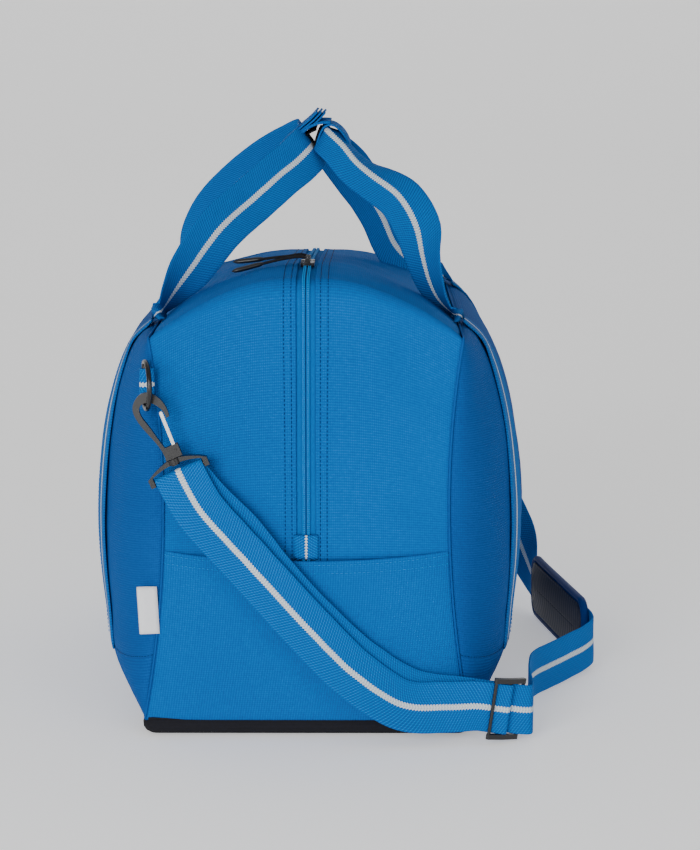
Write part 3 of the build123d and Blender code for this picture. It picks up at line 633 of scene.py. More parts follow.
def make_side_panel(side_name, side):
    rows = []
    for share in eased(0, 1, 36):
        row = []
        for y in eased(-HALF_LENGTH, HALF_LENGTH, PANEL_COLUMNS):
            z = band_top(y) - 1 + (EAR - band_top(y) + 1) * share
            row.append(Vector((side * side_reach(y, z), y, z)))
        rows.append(row)
    grid = softened(rows, side, 1.3, 1.3, side_folds, "first last top")
    panel = cloth(f"side_cloth_{side_name}", grid, SIDE_CLOTH, 1.4, side)
    place_piece(panel, "root", "panel_fabric", f"side_panel_{side_name}")


def make_lower_band(side_name, side):
    """The band below a side panel, lapped over it, with a row of stitches along its top."""
    rows = []
    for share in eased(0, 1, 12):
        row = []
        for y in eased(-HALF_LENGTH, HALF_LENGTH, PANEL_COLUMNS):
            z = BASE_SEAM + (band_top(y) + 1.5 - BASE_SEAM) * share
            row.append(Vector((side * (side_reach(y, z) + 0.9 * share), y, z)))
        rows.append(row)
    grid = softened(rows, side, 1.0, 1.0, None, "first last top bottom")
    band = cloth(f"band_cloth_{side_name}", grid, SIDE_CLOTH, 1.4, side)
    place_piece(band, "root", "panel_fabric", f"side_lower_band_{side_name}")
    seam = [(p, up * side) for p, up in line_across(grid, len(grid) - 2)]
    row = stitches(f"band_stitches_{side_name}", [seam], DARK_THREAD, 2.4, 3.4, 0.3)
    place_piece(row, "root", "panel_fabric")


def make_side_seam(side_name, side):
    """The raised seam round a side: up the near end, along the top edge and down the far end."""
    heights = spaced(BASE_SEAM + 1, EAR - 3, 44)
    edge = [Vector((side * end_half_width(z), -HALF_LENGTH - 0.4, z)) for z in heights]
    corner = [Vector((side * (EAR_X - 0.2), -HALF_LENGTH + 1.2, EAR - 0.6))]
    run = spaced(-HALF_LENGTH + 5, HALF_LENGTH - 5, 60)
    ridge = [Vector((side * (EAR_X + 0.1), y, EAR - 0.2)) for y in run]
    back = [Vector((p.x, -p.y, p.z)) for p in reversed(edge + corner)]
    route = edge + corner + ridge + back
    ridge_seam = tube(f"side_seam_{side_name}", route, [0.9] * len(route), SIDE_CLOTH, 1.0, 8)
    place_piece(ridge_seam, "root", "panel_fabric")


for side_name, side in SIDES:
    make_side_panel(side_name, side)
    make_lower_band(side_name, side)
    make_side_seam(side_name, side)

# ---------------------------------------------------------------- end panels and end pockets
def pocket_hem(x):
    """Height of a pocket's top edge, which sags in the middle."""
    return HEM + 7 * (abs(x) / 115) ** 2


def pocket_reach(x, z):
    """How far a pocket stands out from the flat end."""
    side = end_half_width(z)
    across = max(0.0, 1 - abs(x / side) ** 4) ** 0.7
    up = min(1.0, max(0.0, (z - BASE_SEAM) / 26)) ** 0.5
    return (POCKET_DEPTH - 0.8 * (z / HEM) ** 2) * across * (0.35 + 0.65 * up)


# Creases of a pocket: where each starts and ends, across and up, and how deep it is.
POCKET_CREASES = ((8, 52, 96, 74, 1.3), (20, 66, 100, 98, 1.5), (-60, 30, 14, 44, 0.8),
                  (30, 92, 104, 122, 1.1))


def pocket_folds(end):
    """Slanting creases that run from the lower middle up to the right seam, as the strap drags there."""
    def folds(point):
        x, z = -end * point.x, point.z
        drawn = 0.0
        for low_x, low_z, high_x, high_z, depth in POCKET_CREASES:
            run = hypot(high_x - low_x, high_z - low_z)
            along = ((x - low_x) * (high_x - low_x) + (z - low_z) * (high_z - low_z)) / run
            off = ((z - low_z) * (high_x - low_x) - (x - low_x) * (high_z - low_z)) / run
            off += 3.5 * sin(along / 15)
            inside = exp(-((along - run / 2) / (run * 0.42)) ** 4)
            drawn += depth * inside * (exp(-(off / 4.5) ** 2) - 0.6 * exp(-((off + 8) / 6) ** 2))
        return drawn
    return folds


def make_lining(end_name, end):
    rows = []
    for z in spaced(BASE_SEAM, HEM + 5, 12):
        reach = [end_half_width(z) * share for share in eased(-1, 1, 26)]
        rows.append([Vector((x, end * (HALF_LENGTH - 1.5 + 0.6 * puff(x, z)), z)) for x in reach])
    lining = cloth(f"end_lining_{end_name}", rows, LINING_CLOTH, 1.2, -end)
    place_piece(lining, "root", "panel_fabric", f"end_panel_{end_name}")


POCKET_ROWS, POCKET_COLUMNS = 34, 56
# The hem turned inside: how far in and how far down each row of it lies.
POCKET_HEM = ((0.7, -0.6), (1.7, 0.0), (2.2, 6.0), (2.3, 12.0))


def pocket_stitch_line(grid, end, drop):
    """A line on a pocket at a distance below its top edge, with its outward directions."""
    line = []
    for j in range(1, POCKET_COLUMNS - 1):
        depth = 0.0
        for i in range(POCKET_ROWS - 1, 0, -1):
            step = grid[i][j].z - grid[i - 1][j].z
            if depth + step >= drop:
                share = (drop - depth) / step
                face = normal_at(grid, i, j) * -end
                line.append((grid[i][j].lerp(grid[i - 1][j], share) + face * 0.1, face))
                break
            depth += step
    return line


def make_pocket(end_name, end):
    rows = []
    for share in eased(0, 1, POCKET_ROWS):
        row = []
        for place in eased(-1, 1, POCKET_COLUMNS):
            hem = pocket_hem(place * 118)
            z = BASE_SEAM + (hem - BASE_SEAM) * share
            x = place * end_half_width(z)
            row.append(Vector((x, end * (HALF_LENGTH + pocket_reach(x, z)), z)))
        rows.append(row)
    grid = softened(rows, -end, 1.3, 1.0, pocket_folds(end), "first last bottom")
    for inward, down in POCKET_HEM:
        places = [abs(2 * j / (POCKET_COLUMNS - 1) - 1) for j in range(POCKET_COLUMNS)]
        shift = [inward * min(1.0, (1 - place) * 12) for place in places]
        grid.append([p - Vector((0, end * s, down)) for p, s in zip(grid[POCKET_ROWS - 1], shift)])
    pocket = cloth(f"pocket_cloth_{end_name}", grid, POCKET_CLOTH, 1.0, -end)
    place_piece(pocket, "root", "pocket_fabric", f"end_pocket_{end_name}")
    lines = [pocket_stitch_line(grid, end, drop) for drop in (2.6, 9.2)]
    seams = stitches(f"pocket_stitches_{end_name}", lines, BLUE_THREAD, 2.5, 3.5, 0.34)
    place_piece(seams, "root", "pocket_fabric")


for end_name, end in ENDS:
    make_lining(end_name, end)
    make_pocket(end_name, end)

# ---------------------------------------------------------------- base
def rounded_outline(half_x, half_y, radius, count=12):
    """Points round a rectangle with rounded corners, in order, with even spacing along its sides."""
    out = []
    for k, (sx, sy) in enumerate(((1, -1), (1, 1), (-1, 1), (-1, -1))):
        turn = pi / 2 * (k - 1)
        cx, cy = sx * (half_x - radius), sy * (half_y - radius)
        corner = [(cx + radius * cos(turn + pi / 2 * t), cy + radius * sin(turn + pi / 2 * t))
                  for t in spaced(0, 1, 7)]
        after = ((1, 1), (-1, 1), (-1, -1), (1, -1))[k]
        nx, ny = after[0] * (half_x - radius), after[1] * (half_y - radius)
        turn += pi / 2
        start, stop = corner[-1], (nx + radius * cos(turn), ny + radius * sin(turn))
        out += corner
        out += [(start[0] + (stop[0] - start[0]) * t, start[1] + (stop[1] - start[1]) * t)
                for t in spaced(0, 1, count + 2)[1:-1]]
    return out


BASE_X = end_half_width(BASE_SEAM)
# The base panel from its rolled edge to its middle: inset from the outline, and height.
BASE_PROFILE = ((0.6, 14.5), (-0.9, 12.5), (-1.9, 9), (-1.6, 5.5), (0.2, 2.6), (3.5, 0.8), (8, 0.1),
                (30, 0), (70, 0), (122, 0))
rows = []
for inset, z in BASE_PROFILE:
    uneven = 0 if z < 1 else 0.8
    outline = rounded_outline(BASE_X - inset, HALF_LENGTH + 1.5 - inset, max(10 - inset, 3))
    row = [Vector((x, y, z + uneven * noise.noise(Vector((x, y, 0)) / 40))) for x, y in outline]
    rows.append(row + row[:1])
base = cloth("base_cloth", rows, BASE_CLOTH, 0.8, -1)
place_piece(base, "root", "base_fabric", "base_panel")
base_seam = [Vector((x, y, 13.6)) for x, y in rounded_outline(BASE_X + 0.3, HALF_LENGTH + 1.2, 9)]
base_welt = tube("base_seam", base_seam + base_seam[:1], [1.1] * (len(base_seam) + 1), BASE_CLOTH, 1.0, 8)
place_piece(base_welt, "root", "base_fabric")

# ---------------------------------------------------------------- zip
def zip_face(point):
    """The outward direction of the zip: along Y on an end, up on the top."""
    if point.z < top_height(0, point.y) - 14:
        return Vector((0, point.y, 0)).normalized()
    return Vector((0, 0, 1))


def make_zip_half(side_name, side):
    """One half of the zip: its tape, its ridge of teeth and the fine ticks of the coil on it."""
    columns = [gusset_line(side, beside_zip(x), 1.9) for x in (0.5, 3.2, 6.0, 11.5)]
    grid = turned(columns)
    tape = cloth(f"zip_cloth_{side_name}", grid, ZIP_CLOTH, 0.7, side)
    place_piece(tape, "root", "zip", f"zip_tape_{side_name}")
    ridge = gusset_line(side, beside_zip(1.75), 0.9)
    coil = tube(f"zip_teeth_{side_name}", ridge, [1.5] * len(ridge), ZIP_CLOTH, 0.75, 10)
    place_piece(coil, "root", "zip", *(["zip_coil"] if side < 0 else []))
    lines = []
    for distance in (1.15, 2.5):
        line = gusset_line(side, beside_zip(distance), -0.25)
        lines.append([(p, zip_face(p)) for p in line])
    ticks = stitches(f"zip_ticks_{side_name}", lines, COIL_THREAD, 0.9, 1.7, 0.42)
    place_piece(ticks, "root", "zip")


for side_name, side in SIDES:
    make_zip_half(side_name, side)
gap = gusset_line(1, beside_zip(0.01), 1.7)
shadow = tube("zip_gap", gap, [0.5] * len(gap), ZIP_DARK, 1.0, 6)
place_piece(shadow, "root", "zip")

# The tab folded over each end of the zip: distance out from the zip, and height, from back to front and over.
TAB_PROFILE = ((1.6, 147), (2.4, 145), (3.3, 143.5), (3.7, 147), (3.9, 153), (3.8, 159), (3.3, 162.5),
               (2.2, 163.5), (1.4, 160), (1.3, 152))


def make_end_tab(end_name, end):
    rows = []
    for drop, z in TAB_PROFILE:
        y = end * (HALF_LENGTH + puff(0, z) + drop - 1.3)
        rows.append([Vector((x, y - end * 0.5 * (abs(x) / 9.5) ** 2, z)) for x in spaced(-9.5, 9.5, 9)])
    tab = cloth(f"end_tab_{end_name}", rows, TAB_CLOTH, 0.9, -end, True)
    place_piece(tab, "root", "webbing", f"zip_end_tab_{end_name}")


for end_name, end in ENDS:
    make_end_tab(end_name, end)

# ---------------------------------------------------------------- carry handles
# Stations of each handle from the top edge of its side to the crown, with the curl at the right one's grip.
LEFT_NEAR = [((-127, -150, 321), (0, 1, 0)), ((-119, -148, 330), (0.22, 0.97, -0.08)),
             ((-110, -144, 343), (0.4, 0.8, -0.35)), ((-98, -138, 359), (0.6, 0.45, -0.6)),
             ((-72, -118, 393), (0.75, 0.08, -0.66)), ((-48, -95, 413.7), (0.68, -0.05, -0.72)),
             ((-27, -76, 431.7), (0.65, -0.1, -0.75)), ((-9, -58, 446), (0.62, -0.05, -0.78)),
             ((0, -45, 455), (0.6, 0, -0.8))]
LEFT_FAR = [((-127, 150, 321), (0, -1, 0)), ((-122, 148, 330), (0.22, -0.97, -0.08)),
            ((-118, 144, 343), (0.4, -0.8, -0.35)), ((-110, 138, 361), (0.6, -0.45, -0.6)),
            ((-88, 118, 395), (0.75, 0, -0.66)), ((-62, 98, 421), (0.68, 0.05, -0.72)),
            ((-36, 78, 441), (0.62, 0.1, -0.78)), ((-13, 58, 454), (0.6, 0.05, -0.8)),
            ((-3, 45, 459), (0.6, 0, -0.8))]
RIGHT_NEAR = [((127, -150, 321), (0, -1, 0)), ((117, -148.5, 327), (0.2, -0.97, 0.05)),
              ((106, -144, 338), (0.4, -0.9, 0.15)), ((99, -139, 352), (0.5, -0.8, 0.25)),
              ((94.5, -134, 367), (0.6, -0.65, 0.35)), ((88, -121, 395), (0.78, -0.3, 0.5), 18.0),
              ((74, -106, 418), (0.66, -0.14, 0.72), 34.0), ((54, -89, 432.5), (0.55, -0.1, 0.82), 55.0),
              ((39, -74, 444), (0.66, -0.05, 0.74), 70.0), ((27, -61, 458), (0.7, 0, 0.7), 78.0),
              ((14, -46, 469.5), (0.5, 0, 0.87), 82.0)]
RIGHT_FAR = [((127, 150, 321), (0, 1, 0)), ((115, 147, 328), (0.3, 0.95, 0.05)),
             ((99, 140, 336), (0.6, 0.75, 0.2)), ((82.6, 131, 347), (0.8, 0.35, 0.45)),
             ((72, 122, 361), (0.85, 0.15, 0.5)), ((63, 110, 383), (0.86, 0.05, 0.5)),
             ((51, 95, 404), (0.8, 0, 0.6)), ((34, 72, 428), (0.75, 0, 0.66)),
             ((22, 58, 446), (0.7, 0, 0.7), 30.0), ((12, 45, 462), (0.6, 0, 0.8), 60.0)]
LEFT_CROWN = ((0, 0, 458), (0.6, 0, -0.8))
RIGHT_CROWN = ((11, 0, 471), (0.45, 0, 0.89), 82.0)
HANDLES = (("left", -1, LEFT_NEAR, LEFT_FAR, LEFT_CROWN), ("right", 1, RIGHT_NEAR, RIGHT_FAR, RIGHT_CROWN))
HANDLE_Y = 150.0             # where the runs lie on the sides
HANDLE_ROWS = (-17.5, 17.5)  # stitch rows, from the middle of the webbing


def handle_route(side, near, far, crown):
    """Stations along a handle: up the side at its far run, over the crown and down again at its near run."""
    run = []
    for z in (band_top(HANDLE_Y) - 1, 75, 110, 150, 190, 230, 262, 288):
        fall = side_reach(HANDLE_Y + 18, z) - side_reach(HANDLE_Y - 18, z)
        run.append(((side * (side_reach(HANDLE_Y, z) + 1.2), HANDLE_Y, z), (fall, side * 36, 0)))
    run.append(((side * (side_reach(HANDLE_Y, 306) + 1.2), HANDLE_Y, 307), (-2, side * 36, 0)))
    near_run = [((x, -y, z), (ex, -ey, ez)) for (x, y, z), (ex, ey, ez) in reversed(run)]
    return run + far + [crown] + near[::-1] + near_run


def make_handle(side_name, side, near, far, crown):
    """The webbing of one handle, sewn down on its side and free above the top edge, and its stitch rows."""
    strap, flat = webbing(f"handle_webbing_{side_name}", handle_route(side, near, far, crown), WEBBING_CLOTH)
    runs = [f"handle_run_{side_name}_{end_name}" for end_name, end in ENDS]
    place_piece(strap, None, "webbing", f"handle_loop_{side_name}", *runs)
    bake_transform(strap)
    lines = []
    for end_name, end in ENDS:
        for offset in HANDLE_ROWS:
            line = []
            for z in spaced(band_top(HANDLE_Y) + 4, 296, 50):
                x = side * (side_reach(HANDLE_Y + end * offset, z) + 2.2)
                line.append((Vector((x, end * HANDLE_Y + offset, z)), Vector((side, 0, 0))))
            lines.append(line)
    rows = stitches(f"handle_stitches_{side_name}", lines, BLUE_THREAD, 2.4, 3.4, 0.3)
    place_piece(rows, "root", "webbing")


for handle in HANDLES:
    make_handle(*handle)

# ---------------------------------------------------------------- grip wraps
GRIP_HALF = 45.0             # half the length of a grip wrap


def leaf(name, outline, half, material, thickness):
    """A leaf of a grip wrap: an outline across the bag, carried along it to half each way."""
    rows = []
    for x, z, _ in smooth([(x, z, 0.0) for x, z in outline], 2.5):
        row = []
        for y in spaced(-half, half, 19):
            out = 0.6 * noise.noise(Vector((x, y, z)) / 18)
            up = 0.8 * noise.noise(Vector((z, y, x)) / 22) - 1.2 * (y / half) ** 2
            row.append(Vector((x + out, y, z + up)))
        rows.append(row)
    piece = cloth(name, rows, material, thickness, 1)
    return piece, size_of(rows)


# The open wrap on the left handle: three plies fanned apart at their free edge, and a lower leaf under them.
for ply, (dx, dz) in enumerate(((0.0, 0.0), (1.5, -1.7), (3.0, -3.4))):
    outline = [(-31 + dx, 449 + dz * 0.6), (-21 + dx, 461 + dz), (-9 + dx, 471.5 + dz),
               (1 + dx * 1.3, 480 + dz), (6 + dx * 2.2, 485.5 + dz * 0.35)]
    wrap, flat = leaf(f"grip_ply_{ply + 1}", outline, GRIP_HALF - 0.6 * ply, GUSSET_CLOTH, 1.3)
    place_piece(wrap, "handle_left", "panel_fabric", *(["grip_wrap_left"] if ply == 0 else []))
outline = [(-17, 459), (-10, 465.5), (-1, 472), (8, 475.5), (17, 475.8)]
wrap, flat = leaf("grip_leaf_lower", outline, GRIP_HALF - 1, GUSSET_CLOTH, 2.2)
place_piece(wrap, "handle_left", "panel_fabric")
outline = [(-14, 456), (-8, 461.5), (0, 468), (5, 470.5)]
tape, flat = leaf("grip_hook_tape", outline, GRIP_HALF - 4, HOOK_TAPE, 1.4)
place_piece(tape, "handle_left", "hook_loop")
# The cover on the right handle is folded over its webbing, with hook tape on the side towards the left one.
outline = [(4.5, 452), (6, 459), (8.5, 467), (12.5, 473), (18, 474), (24, 470.5), (29, 464), (33, 455)]
wrap, flat = leaf("grip_cover_right", outline, GRIP_HALF - 0.5, GUSSET_CLOTH, 1.5)
place_piece(wrap, "handle_right", "panel_fabric", "grip_wrap_right")
outline = [(2.6, 451.5), (4.4, 459), (6.8, 466.5), (9, 471)]
tape, flat = leaf("grip_loop_tape", outline, GRIP_HALF - 2, HOOK_TAPE, 1.4)
place_piece(tape, "handle_right", "hook_loop")

# ---------------------------------------------------------------- D-ring loops
RING_BAR = {"near": (-125.0, -256.5), "far": (125.0, 256.5)}
SEAM_CORNER = {"near": (-119.0, -253.4), "far": (119.0, 253.4)}
RING_HEIGHT = 283.0
RING_TURN = 3.2              # from the ring's bar to the middle of the webbing round it


def make_ring_loop(end_name):
    """A short loop of webbing from a corner seam round the straight bar of its D-ring."""
    bar = Vector((*RING_BAR[end_name], RING_HEIGHT))
    corner = Vector((*SEAM_CORNER[end_name], RING_HEIGHT))
    out = (bar - corner).normalized()
    beside = Vector((-out.y, out.x, 0))
    stations = [(corner + beside * RING_TURN, (0, 0, 1))]
    for turn in (90, 60, 30, 0, -30, -60, -90):
        spot = bar + (out * cos(radians(turn)) + beside * sin(radians(turn))) * RING_TURN
        stations.append((spot, (0, 0, 1)))
    stations.append((corner - beside * RING_TURN, (0, 0, 1)))
    loop, flat = webbing(f"ring_webbing_{end_name}", stations, LOOP_CLOTH, 25.0, 1.5, 3)
    place_piece(loop, "root", "webbing", f"ring_loop_{end_name}")


for end_name, end in ENDS:
    make_ring_loop(end_name)

# ---------------------------------------------------------------- shoulder strap
NEAR_BAR = Vector((-97.5, -270.1, 215.4))
NEAR_UP = Vector((-0.4, 0, 0.916))
FAR_BAR = Vector((137.4, 284.5, 215.4))
FAR_UP = Vector((0.017, -0.4, 0.916))
FAR_SIDE = Vector((0.999, 0.044, 0))
FAR_OUT = Vector((0.04, -0.9155, -0.4))
LEAF = 3.1                       # from a hook's strap bar to the middle of the webbing round it
BACK_Y, FRONT_Y = -267.0, -273.2
ADJUSTER = Vector((157.0, BACK_Y, 27.5))
ADJUSTER_RUN = Vector((cos(radians(8)), 0, -sin(radians(8))))
LEVEL = (0, 0, 1)
HOOK_EDGE = (0.916, 0, 0.4)      # across the webbing at the near hook's bar
ADJUSTER_EDGE = (0.139, 0, 0.99)  # across it at the adjuster


def at_adjuster(along, out):
    """A place along the strap from the adjuster's middle bar, and out from the bag."""
    return ADJUSTER + ADJUSTER_RUN * along + Vector((0, -out, 0))


def hanging(route, y, leans):
    """Stations of a ply hanging against the near end, its lower edge leaning out."""
    out = []
    for i, (x, z) in enumerate(route):
        before, after = route[max(i - 1, 0)], route[min(i + 1, len(route) - 1)]
        dx, dz = after[0] - before[0], after[1] - before[1]
        run = hypot(dx, dz)
        lean, shift = leans[i]
        out.append(((x, y - shift, z), (-dz / run, lean, dx / run)))
    return out


# The two plies from the near hook down across the end: places across and up, and how far the lower edge
# leans and shifts out from the bag at each.
BACK_LEG = [(-94.5, 209), (-77, 190.5), (-51.5, 164.5), (-28, 134), (5, 97), (44, 61), (84, 38), (120, 32.4)]
BACK_LEANS = [(0, 0)] * 4 + [(0.05, 0), (0.2, 0.8), (0.34, 2.0), (0.12, 1.0)]
FRONT_LEG = [(-94.5, 209), (-83, 188), (-60, 161), (-34, 132), (0, 94), (38, 56), (76, 32), (110, 30)]
FRONT_LEANS = [(0, 0)] * 4 + [(0.1, 0.3), (0.26, 2.0), (0.4, 3.8), (0.16, 2.6)]
# The strap round the near right corner and along the right side, lying on its edge.
SIDE_LEG = [(176.5, -264.8, 25), (178.6, -257, 24.8), (180, -193, 24), (187, -149, 23), (208, -112, 23),
            (236, -73, 26), (244.4, -58, 28.5), (245, -44, 30), (235, 18, 30), (222, 98, 30),
            (216, 135.5, 30), (211.2, 166, 30)]
# Past the pad it rises and turns flat towards the far hook.
FAR_LEG = [((205, 203, 43), (0.35, -0.1, 0.93)), ((193, 232, 70), (0.72, 0, 0.68)),
           ((174, 262, 107), (0.87, 0.05, 0.48)), ((154, 284, 150), (0.9, 0, 0.4)),
           ((142, 288, 184), (0.97, 0, 0.2))]
HALF_TURN = (0, 45, 90, 135, 180)


def make_strap():
    """The long webbing: from the near hook, through the adjuster and round to the far hook."""
    route = [(NEAR_BAR + Vector((0, LEAF, 0)) - NEAR_UP * 2, HOOK_EDGE)]
    route += hanging(BACK_LEG, BACK_Y, BACK_LEANS)[1:]
    route += [(at_adjuster(-24, 0.3), ADJUSTER_EDGE), (at_adjuster(0, 0), ADJUSTER_EDGE)]
    route += [(at_adjuster(13, 0), (0.1, 0, 1))]
    route += [(place, LEVEL) for place in SIDE_LEG] + FAR_LEG
    for turn in HALF_TURN:
        spot = FAR_BAR + FAR_OUT * -LEAF * cos(radians(turn)) + FAR_UP * LEAF * sin(radians(turn))
        route.append((spot, FAR_SIDE))
    route.append((FAR_BAR + FAR_OUT * LEAF - FAR_UP * 42, FAR_SIDE))
    return webbing("strap_webbing", route, WEBBING_CLOTH)


strap, flat = make_strap()
place_piece(strap, "root", "webbing", "strap_back_ply", "strap_side_run", "strap_far_leg")

MIDDLE_BAR = 4.4                 # from the strap to the adjuster's middle bar
BAR_TURN = 2.5                   # from that bar to the middle of the webbing round it


def make_front_ply():
    """The front ply: round the near hook's bar, down to the adjuster and round its middle bar."""
    route = []
    for turn in HALF_TURN:
        spot = NEAR_BAR + Vector((0, LEAF * cos(radians(turn)), 0)) + NEAR_UP * LEAF * sin(radians(turn))
        route.append((spot, HOOK_EDGE))
    route += hanging(FRONT_LEG, FRONT_Y, FRONT_LEANS)[1:]
    spots = [(-22, 7.2), (-8, 6.9)]
    for turn in (90, 45, 0, -45, -90):
        spots.append((BAR_TURN * cos(radians(turn)), MIDDLE_BAR + BAR_TURN * sin(radians(turn))))
    spots += [(-14, 1.9), (-28, 2.0)]
    route += [(at_adjuster(along, out), ADJUSTER_EDGE) for along, out in spots]
    return webbing("strap_front_webbing", route, WEBBING_CLOTH, step=5)


ply, flat = make_front_ply()
place_piece(ply, None, "webbing", "strap_front_ply", "strap_end_loop")
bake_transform(ply)

# ---------------------------------------------------------------- shoulder pad
PAD_RUN = Vector((-0.157, 0.9876, 0))
PAD_IN = Vector((-0.9876, -0.157, 0))
PAD_MIDDLE = Vector((227.6, 62.4, 30.0)) + PAD_IN * 1.2


def on_pad(along, up, inward):
    """A place on the pad: along the strap, up, and in towards the bag. Its far end bends outward."""
    bend = 0.16 * max(0.0, along - 40) ** 2 / 62
    return PAD_MIDDLE + PAD_RUN * along + Vector((0, 0, up)) + PAD_IN * (inward - bend * 0.12)


def pad_rings(profile, half_a, half_b, corner):
    """Closed rings round the pad, one for each inset from its edge and depth."""
    rows = []
    for inset, depth in profile:
        outline = rounded_outline(half_a - inset, half_b - inset, max(corner - inset, 2.0), 16)
        rows.append([on_pad(a, b, depth) for a, b in outline + outline[:1]])
    return rows


# The cushion's section: inset from its edge, and depth.
PAD_PROFILE = [(24, -0.4), (16, -0.5), (8, -0.4), (3, -0.2), (0.6, 0.6), (0, 2.2), (0.6, 3.8), (3, 4.8),
               (9, 5.2), (24, 5.2)]
RIB_CENTRE, RIB_PITCH, RIB_HEIGHT = 130, 7.5, 0.38
rows = pad_rings(PAD_PROFILE, 100.5, 27.2, 16)
core = cloth("pad_cushion", rows, PAD_CLOTH, 0.6, -1)
place_piece(core, "pad", "pad_foam", "pad_core")
rows = []
for inset in spaced(0, 23.4, 26):
    outline = rounded_outline(95 - inset, 23.5 - inset, max(13 - inset, 0.05), 110)
    row = []
    for a, b in outline + outline[:1]:
        rib = RIB_HEIGHT * sin(2 * pi * hypot(a - RIB_CENTRE, 2.2 * b) / RIB_PITCH)
        row.append(on_pad(a, b, 5.3 + min(1.0, inset / 1.2) * (1.1 + rib)))
    rows.append(row)
grip = cloth("pad_ribs", rows, PAD_RUBBER, 0.8, -1)
place_piece(grip, "pad", "pad_rubber", "pad_grip")
RIM_SIDES = 10


def make_binding():
    """The rolled binding sewn round the pad's edge: a closed oval ring."""
    outline = rounded_outline(99.8, 26.8, 17, 16)
    rim = [on_pad(a, b, 2.4) for a, b in outline + outline[:1]]
    points, faces = [], []
    for i, spot in enumerate(rim):
        away = (rim[(i + 1) % (len(rim) - 1)] - rim[i - 1 if i else -2]).cross(PAD_IN).normalized()
        for k in range(RIM_SIDES):
            turn = 2 * pi * k / RIM_SIDES
            points.append(spot + away * 2.6 * cos(turn) + PAD_IN * 3.6 * sin(turn))
    for i in range(len(rim) - 1):
        low, high = i * RIM_SIDES, (i + 1) * RIM_SIDES
        for k in range(RIM_SIDES):
            n = (k + 1) % RIM_SIDES
            faces.append((low + k, low + n, high + n, high + k))
    uv = [((i // RIM_SIDES) * 0.004, (i % RIM_SIDES) * 0.002) for i in range(len(points))]
    return mesh_object("pad_rim", points, faces, BINDING_CLOTH, uv)


binding = make_binding()
place_piece(binding, "pad", "binding", "pad_binding")
# The keepers hold the strap against the pad: each one's section, up and in towards the bag.
KEEPER_SECTION = ((-27, -0.6), (-23.5, -1.2), (-21.5, -3.4), (-15, -3.9), (0, -4.0), (15, -3.9),
                  (21.5, -3.4), (23.5, -1.2), (27, -0.6))
KEEPER_PLACE = 62
for end_name, end in ENDS:
    middle = PAD_MIDDLE + PAD_RUN * end * KEEPER_PLACE
    route = [(middle + Vector((0, 0, up)) + PAD_IN * inward, PAD_RUN) for up, inward in KEEPER_SECTION]
    keeper, flat = webbing(f"pad_loop_{end_name}", route, PAD_CLOTH, 16.0, 1.2, 3)
    place_piece(keeper, "pad", "pad_foam", f"pad_keeper_{end_name}")

# ---------------------------------------------------------------- seam label
# The label's section, folded at its free edge: distance out from the end, and place across.
LABEL_SECTION = ((0.2, -117), (0.6, -120.5), (1.4, -124), (2.0, -128), (2.1, -131.6), (1.5, -132.6),
                 (0.8, -131.5), (0.2, -125), (-0.2, -117))
rows = []
for drop, x in LABEL_SECTION:
    row = []
    for z in spaced(83, 121, 12):
        y = -251.2 - drop + 0.7 * noise.noise(Vector((x, 0, z)) / 12)
        row.append(Vector((x - 0.05 * (z - 102), y, z)))
    rows.append(row)
label = cloth("seam_tag", rows, LABEL_CLOTH, 0.35, -1)
place_piece(label, "root", "label", "seam_label")

# ---------------------------------------------------------------- zip pulls
PIVOTS = {"near": Vector((0, -175.25, 372.9)), "far": Vector((0, -154.7, 372.8))}
BOW = {"near": 3.0, "far": -2.0}         # how far each pull bows aside
DIP = {"near": 1.0, "far": 0.45}         # how steeply it droops


def make_pull(end_name):
    """A pull of two braided strands with a moulded tip, lying over to the left."""
    pivot, bow, dip = PIVOTS[end_name], BOW[end_name], DIP[end_name]
    for strand, offset in (("a", -1.5), ("b", 1.5)):
        stations = [(0, offset, 0), (-5, offset * 1.3, 1.4), (-16, offset * 1.2 + bow * 0.4, 0.2 * dip),
                    (-30, offset * 1.1 + bow, -3.0 * dip), (-40, offset + bow, -5.6 * dip),
                    (-50, offset + bow * 0.6, -8.2 * dip)]
        route = [pivot + Vector(p) for p in smooth(stations, 3)]
        radii = [1.25] * len(route)
        cord = tube(f"pull_strand_{end_name}_{strand}", route, radii, PULL_BRAID, 0.8, 8)
        place_piece(cord, f"pull_{end_name}", "pull_cord")
    stations = [(-34, bow, -4.0 * dip), (-42, bow * 0.9, -6.0 * dip), (-52, bow * 0.5, -8.6 * dip),
                (-61, bow * 0.1, -10.6 * dip)]
    route = [pivot + Vector(p) for p in smooth(stations, 2)]
    shares = [abs(2 * i / (len(route) - 1) - 1) for i in range(len(route))]
    radii = [2.9 * (1 - 0.9 * share ** 6) for share in shares]
    tip = tube(f"pull_tip_{end_name}", route, radii, BLACK_PLASTIC, 0.7, 12)
    place_piece(tip, f"pull_{end_name}", "pull_cord", f"zip_pull_{end_name}")


for end_name, end in ENDS:
    make_pull(end_name)

# ---------------------------------------------------------------- hard parts kept from the CAD model
HARD = {"d_ring": BLACK_LACQUER, "snap_hook": BLACK_PLASTIC, "gate_rivet": BLACK_LACQUER, "hook_gate": STEEL,
        "swivel_base": BLACK_PLASTIC, "zip_slider": BLACK_LACQUER}
EDGE_RADIUS = 0.35           # softening of moulded and cast edges
kept = [(f"{name}_{end_name}", material) for name, material in HARD.items() for end_name, end in ENDS]
for name, material in kept + [("strap_adjuster", BLACK_PLASTIC), ("base_board", BOARD_GREY)]:
    part = bpy.data.objects[name]
    part.data.materials.clear()
    part.data.materials.append(material)
    edge = part.modifiers.new("edges", "BEVEL")
    edge.width = EDGE_RADIUS * MM
    edge.segments = 2
    edge.limit_method = "ANGLE"
    edge.angle_limit = radians(35)
    edge.harden_normals = True

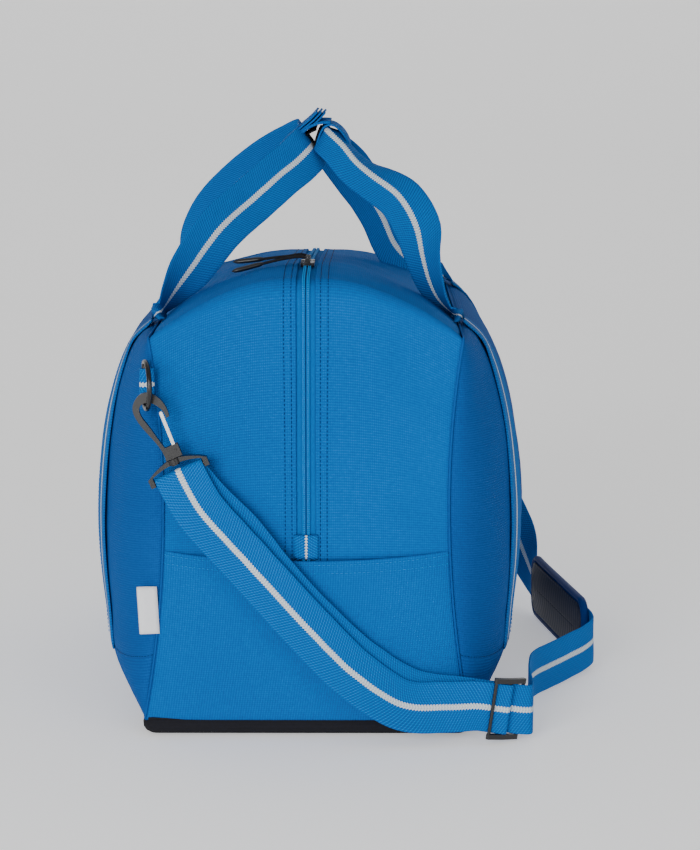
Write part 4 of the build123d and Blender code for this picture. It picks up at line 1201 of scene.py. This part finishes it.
# ---------------------------------------------------------------- floor, light and camera
CAMERA = (42.0, -2150.0, 561.0)
CAMERA_DIP = 9.3             # degrees below level
CAMERA_YAW = 0.232           # degrees to the left of straight ahead
CAMERA_LENS = 104.6          # mm, on a 36 mm sensor

camera_data = bpy.data.cameras.new("camera")
camera_data.lens = CAMERA_LENS
camera_data.clip_end = 20
camera = bpy.data.objects.new("camera", camera_data)
camera.location = Vector(CAMERA) * MM
camera.rotation_euler = Euler((radians(90 - CAMERA_DIP), 0, radians(CAMERA_YAW)))
bpy.context.collection.objects.link(camera)
bpy.context.scene.camera = camera


def softbox(name, place, target, size, power):
    """A square lamp at a place, turned to a target. Places and size are in metres, power in watts."""
    data = bpy.data.lights.new(name, "AREA")
    data.size = size
    data.energy = power
    light = bpy.data.objects.new(name, data)
    light.location = place
    light.rotation_euler = (Vector(target) - Vector(place)).to_track_quat("-Z", "Y").to_euler()
    bpy.context.collection.objects.link(light)


softbox("key", (-0.9, -2.6, 0.75), (0, -0.2, 0.2), 1.3, 52)
softbox("fill", (1.6, -2.2, 0.5), (0, -0.1, 0.2), 1.3, 12)
softbox("over", (0, 0.8, 2.6), (0, 0, 0.2), 1.6, 3)

# A paper floor that curves up into a backdrop: places along Y and heights, in metres.
floor_mesh = bpy.data.meshes.new("floor")
sweep = [(-5.0, 0.0), (1.6, 0.0), (2.2, 0.06), (2.7, 0.3), (3.0, 0.8), (3.1, 1.6), (3.1, 4.0)]
floor_points = [(x, y, z) for y, z in sweep for x in (-5, 5)]
floor_faces = [(2 * i, 2 * i + 1, 2 * i + 3, 2 * i + 2) for i in range(len(sweep) - 1)]
floor_mesh.from_pydata(floor_points, [], floor_faces)
for polygon in floor_mesh.polygons:
    polygon.use_smooth = True
floor = bpy.data.objects.new("floor", floor_mesh)
floor.location.z = -0.0005
floor_look = Surface("floor_paper", 0.9, Specular_IOR_Level=0.1, Emission_Color=(1, 1, 1, 1),
                     Emission_Strength=0.4)
floor_mesh.materials.append(floor_look.finish((0.9, 0.9, 0.9, 1)))
bpy.context.collection.objects.link(floor)

world = bpy.data.worlds.new("studio")
world.use_nodes = True
background = world.node_tree.nodes["Background"]
background.inputs[0].default_value = (1, 1, 1, 1)
background.inputs[1].default_value = 0.4
bpy.context.scene.world = world
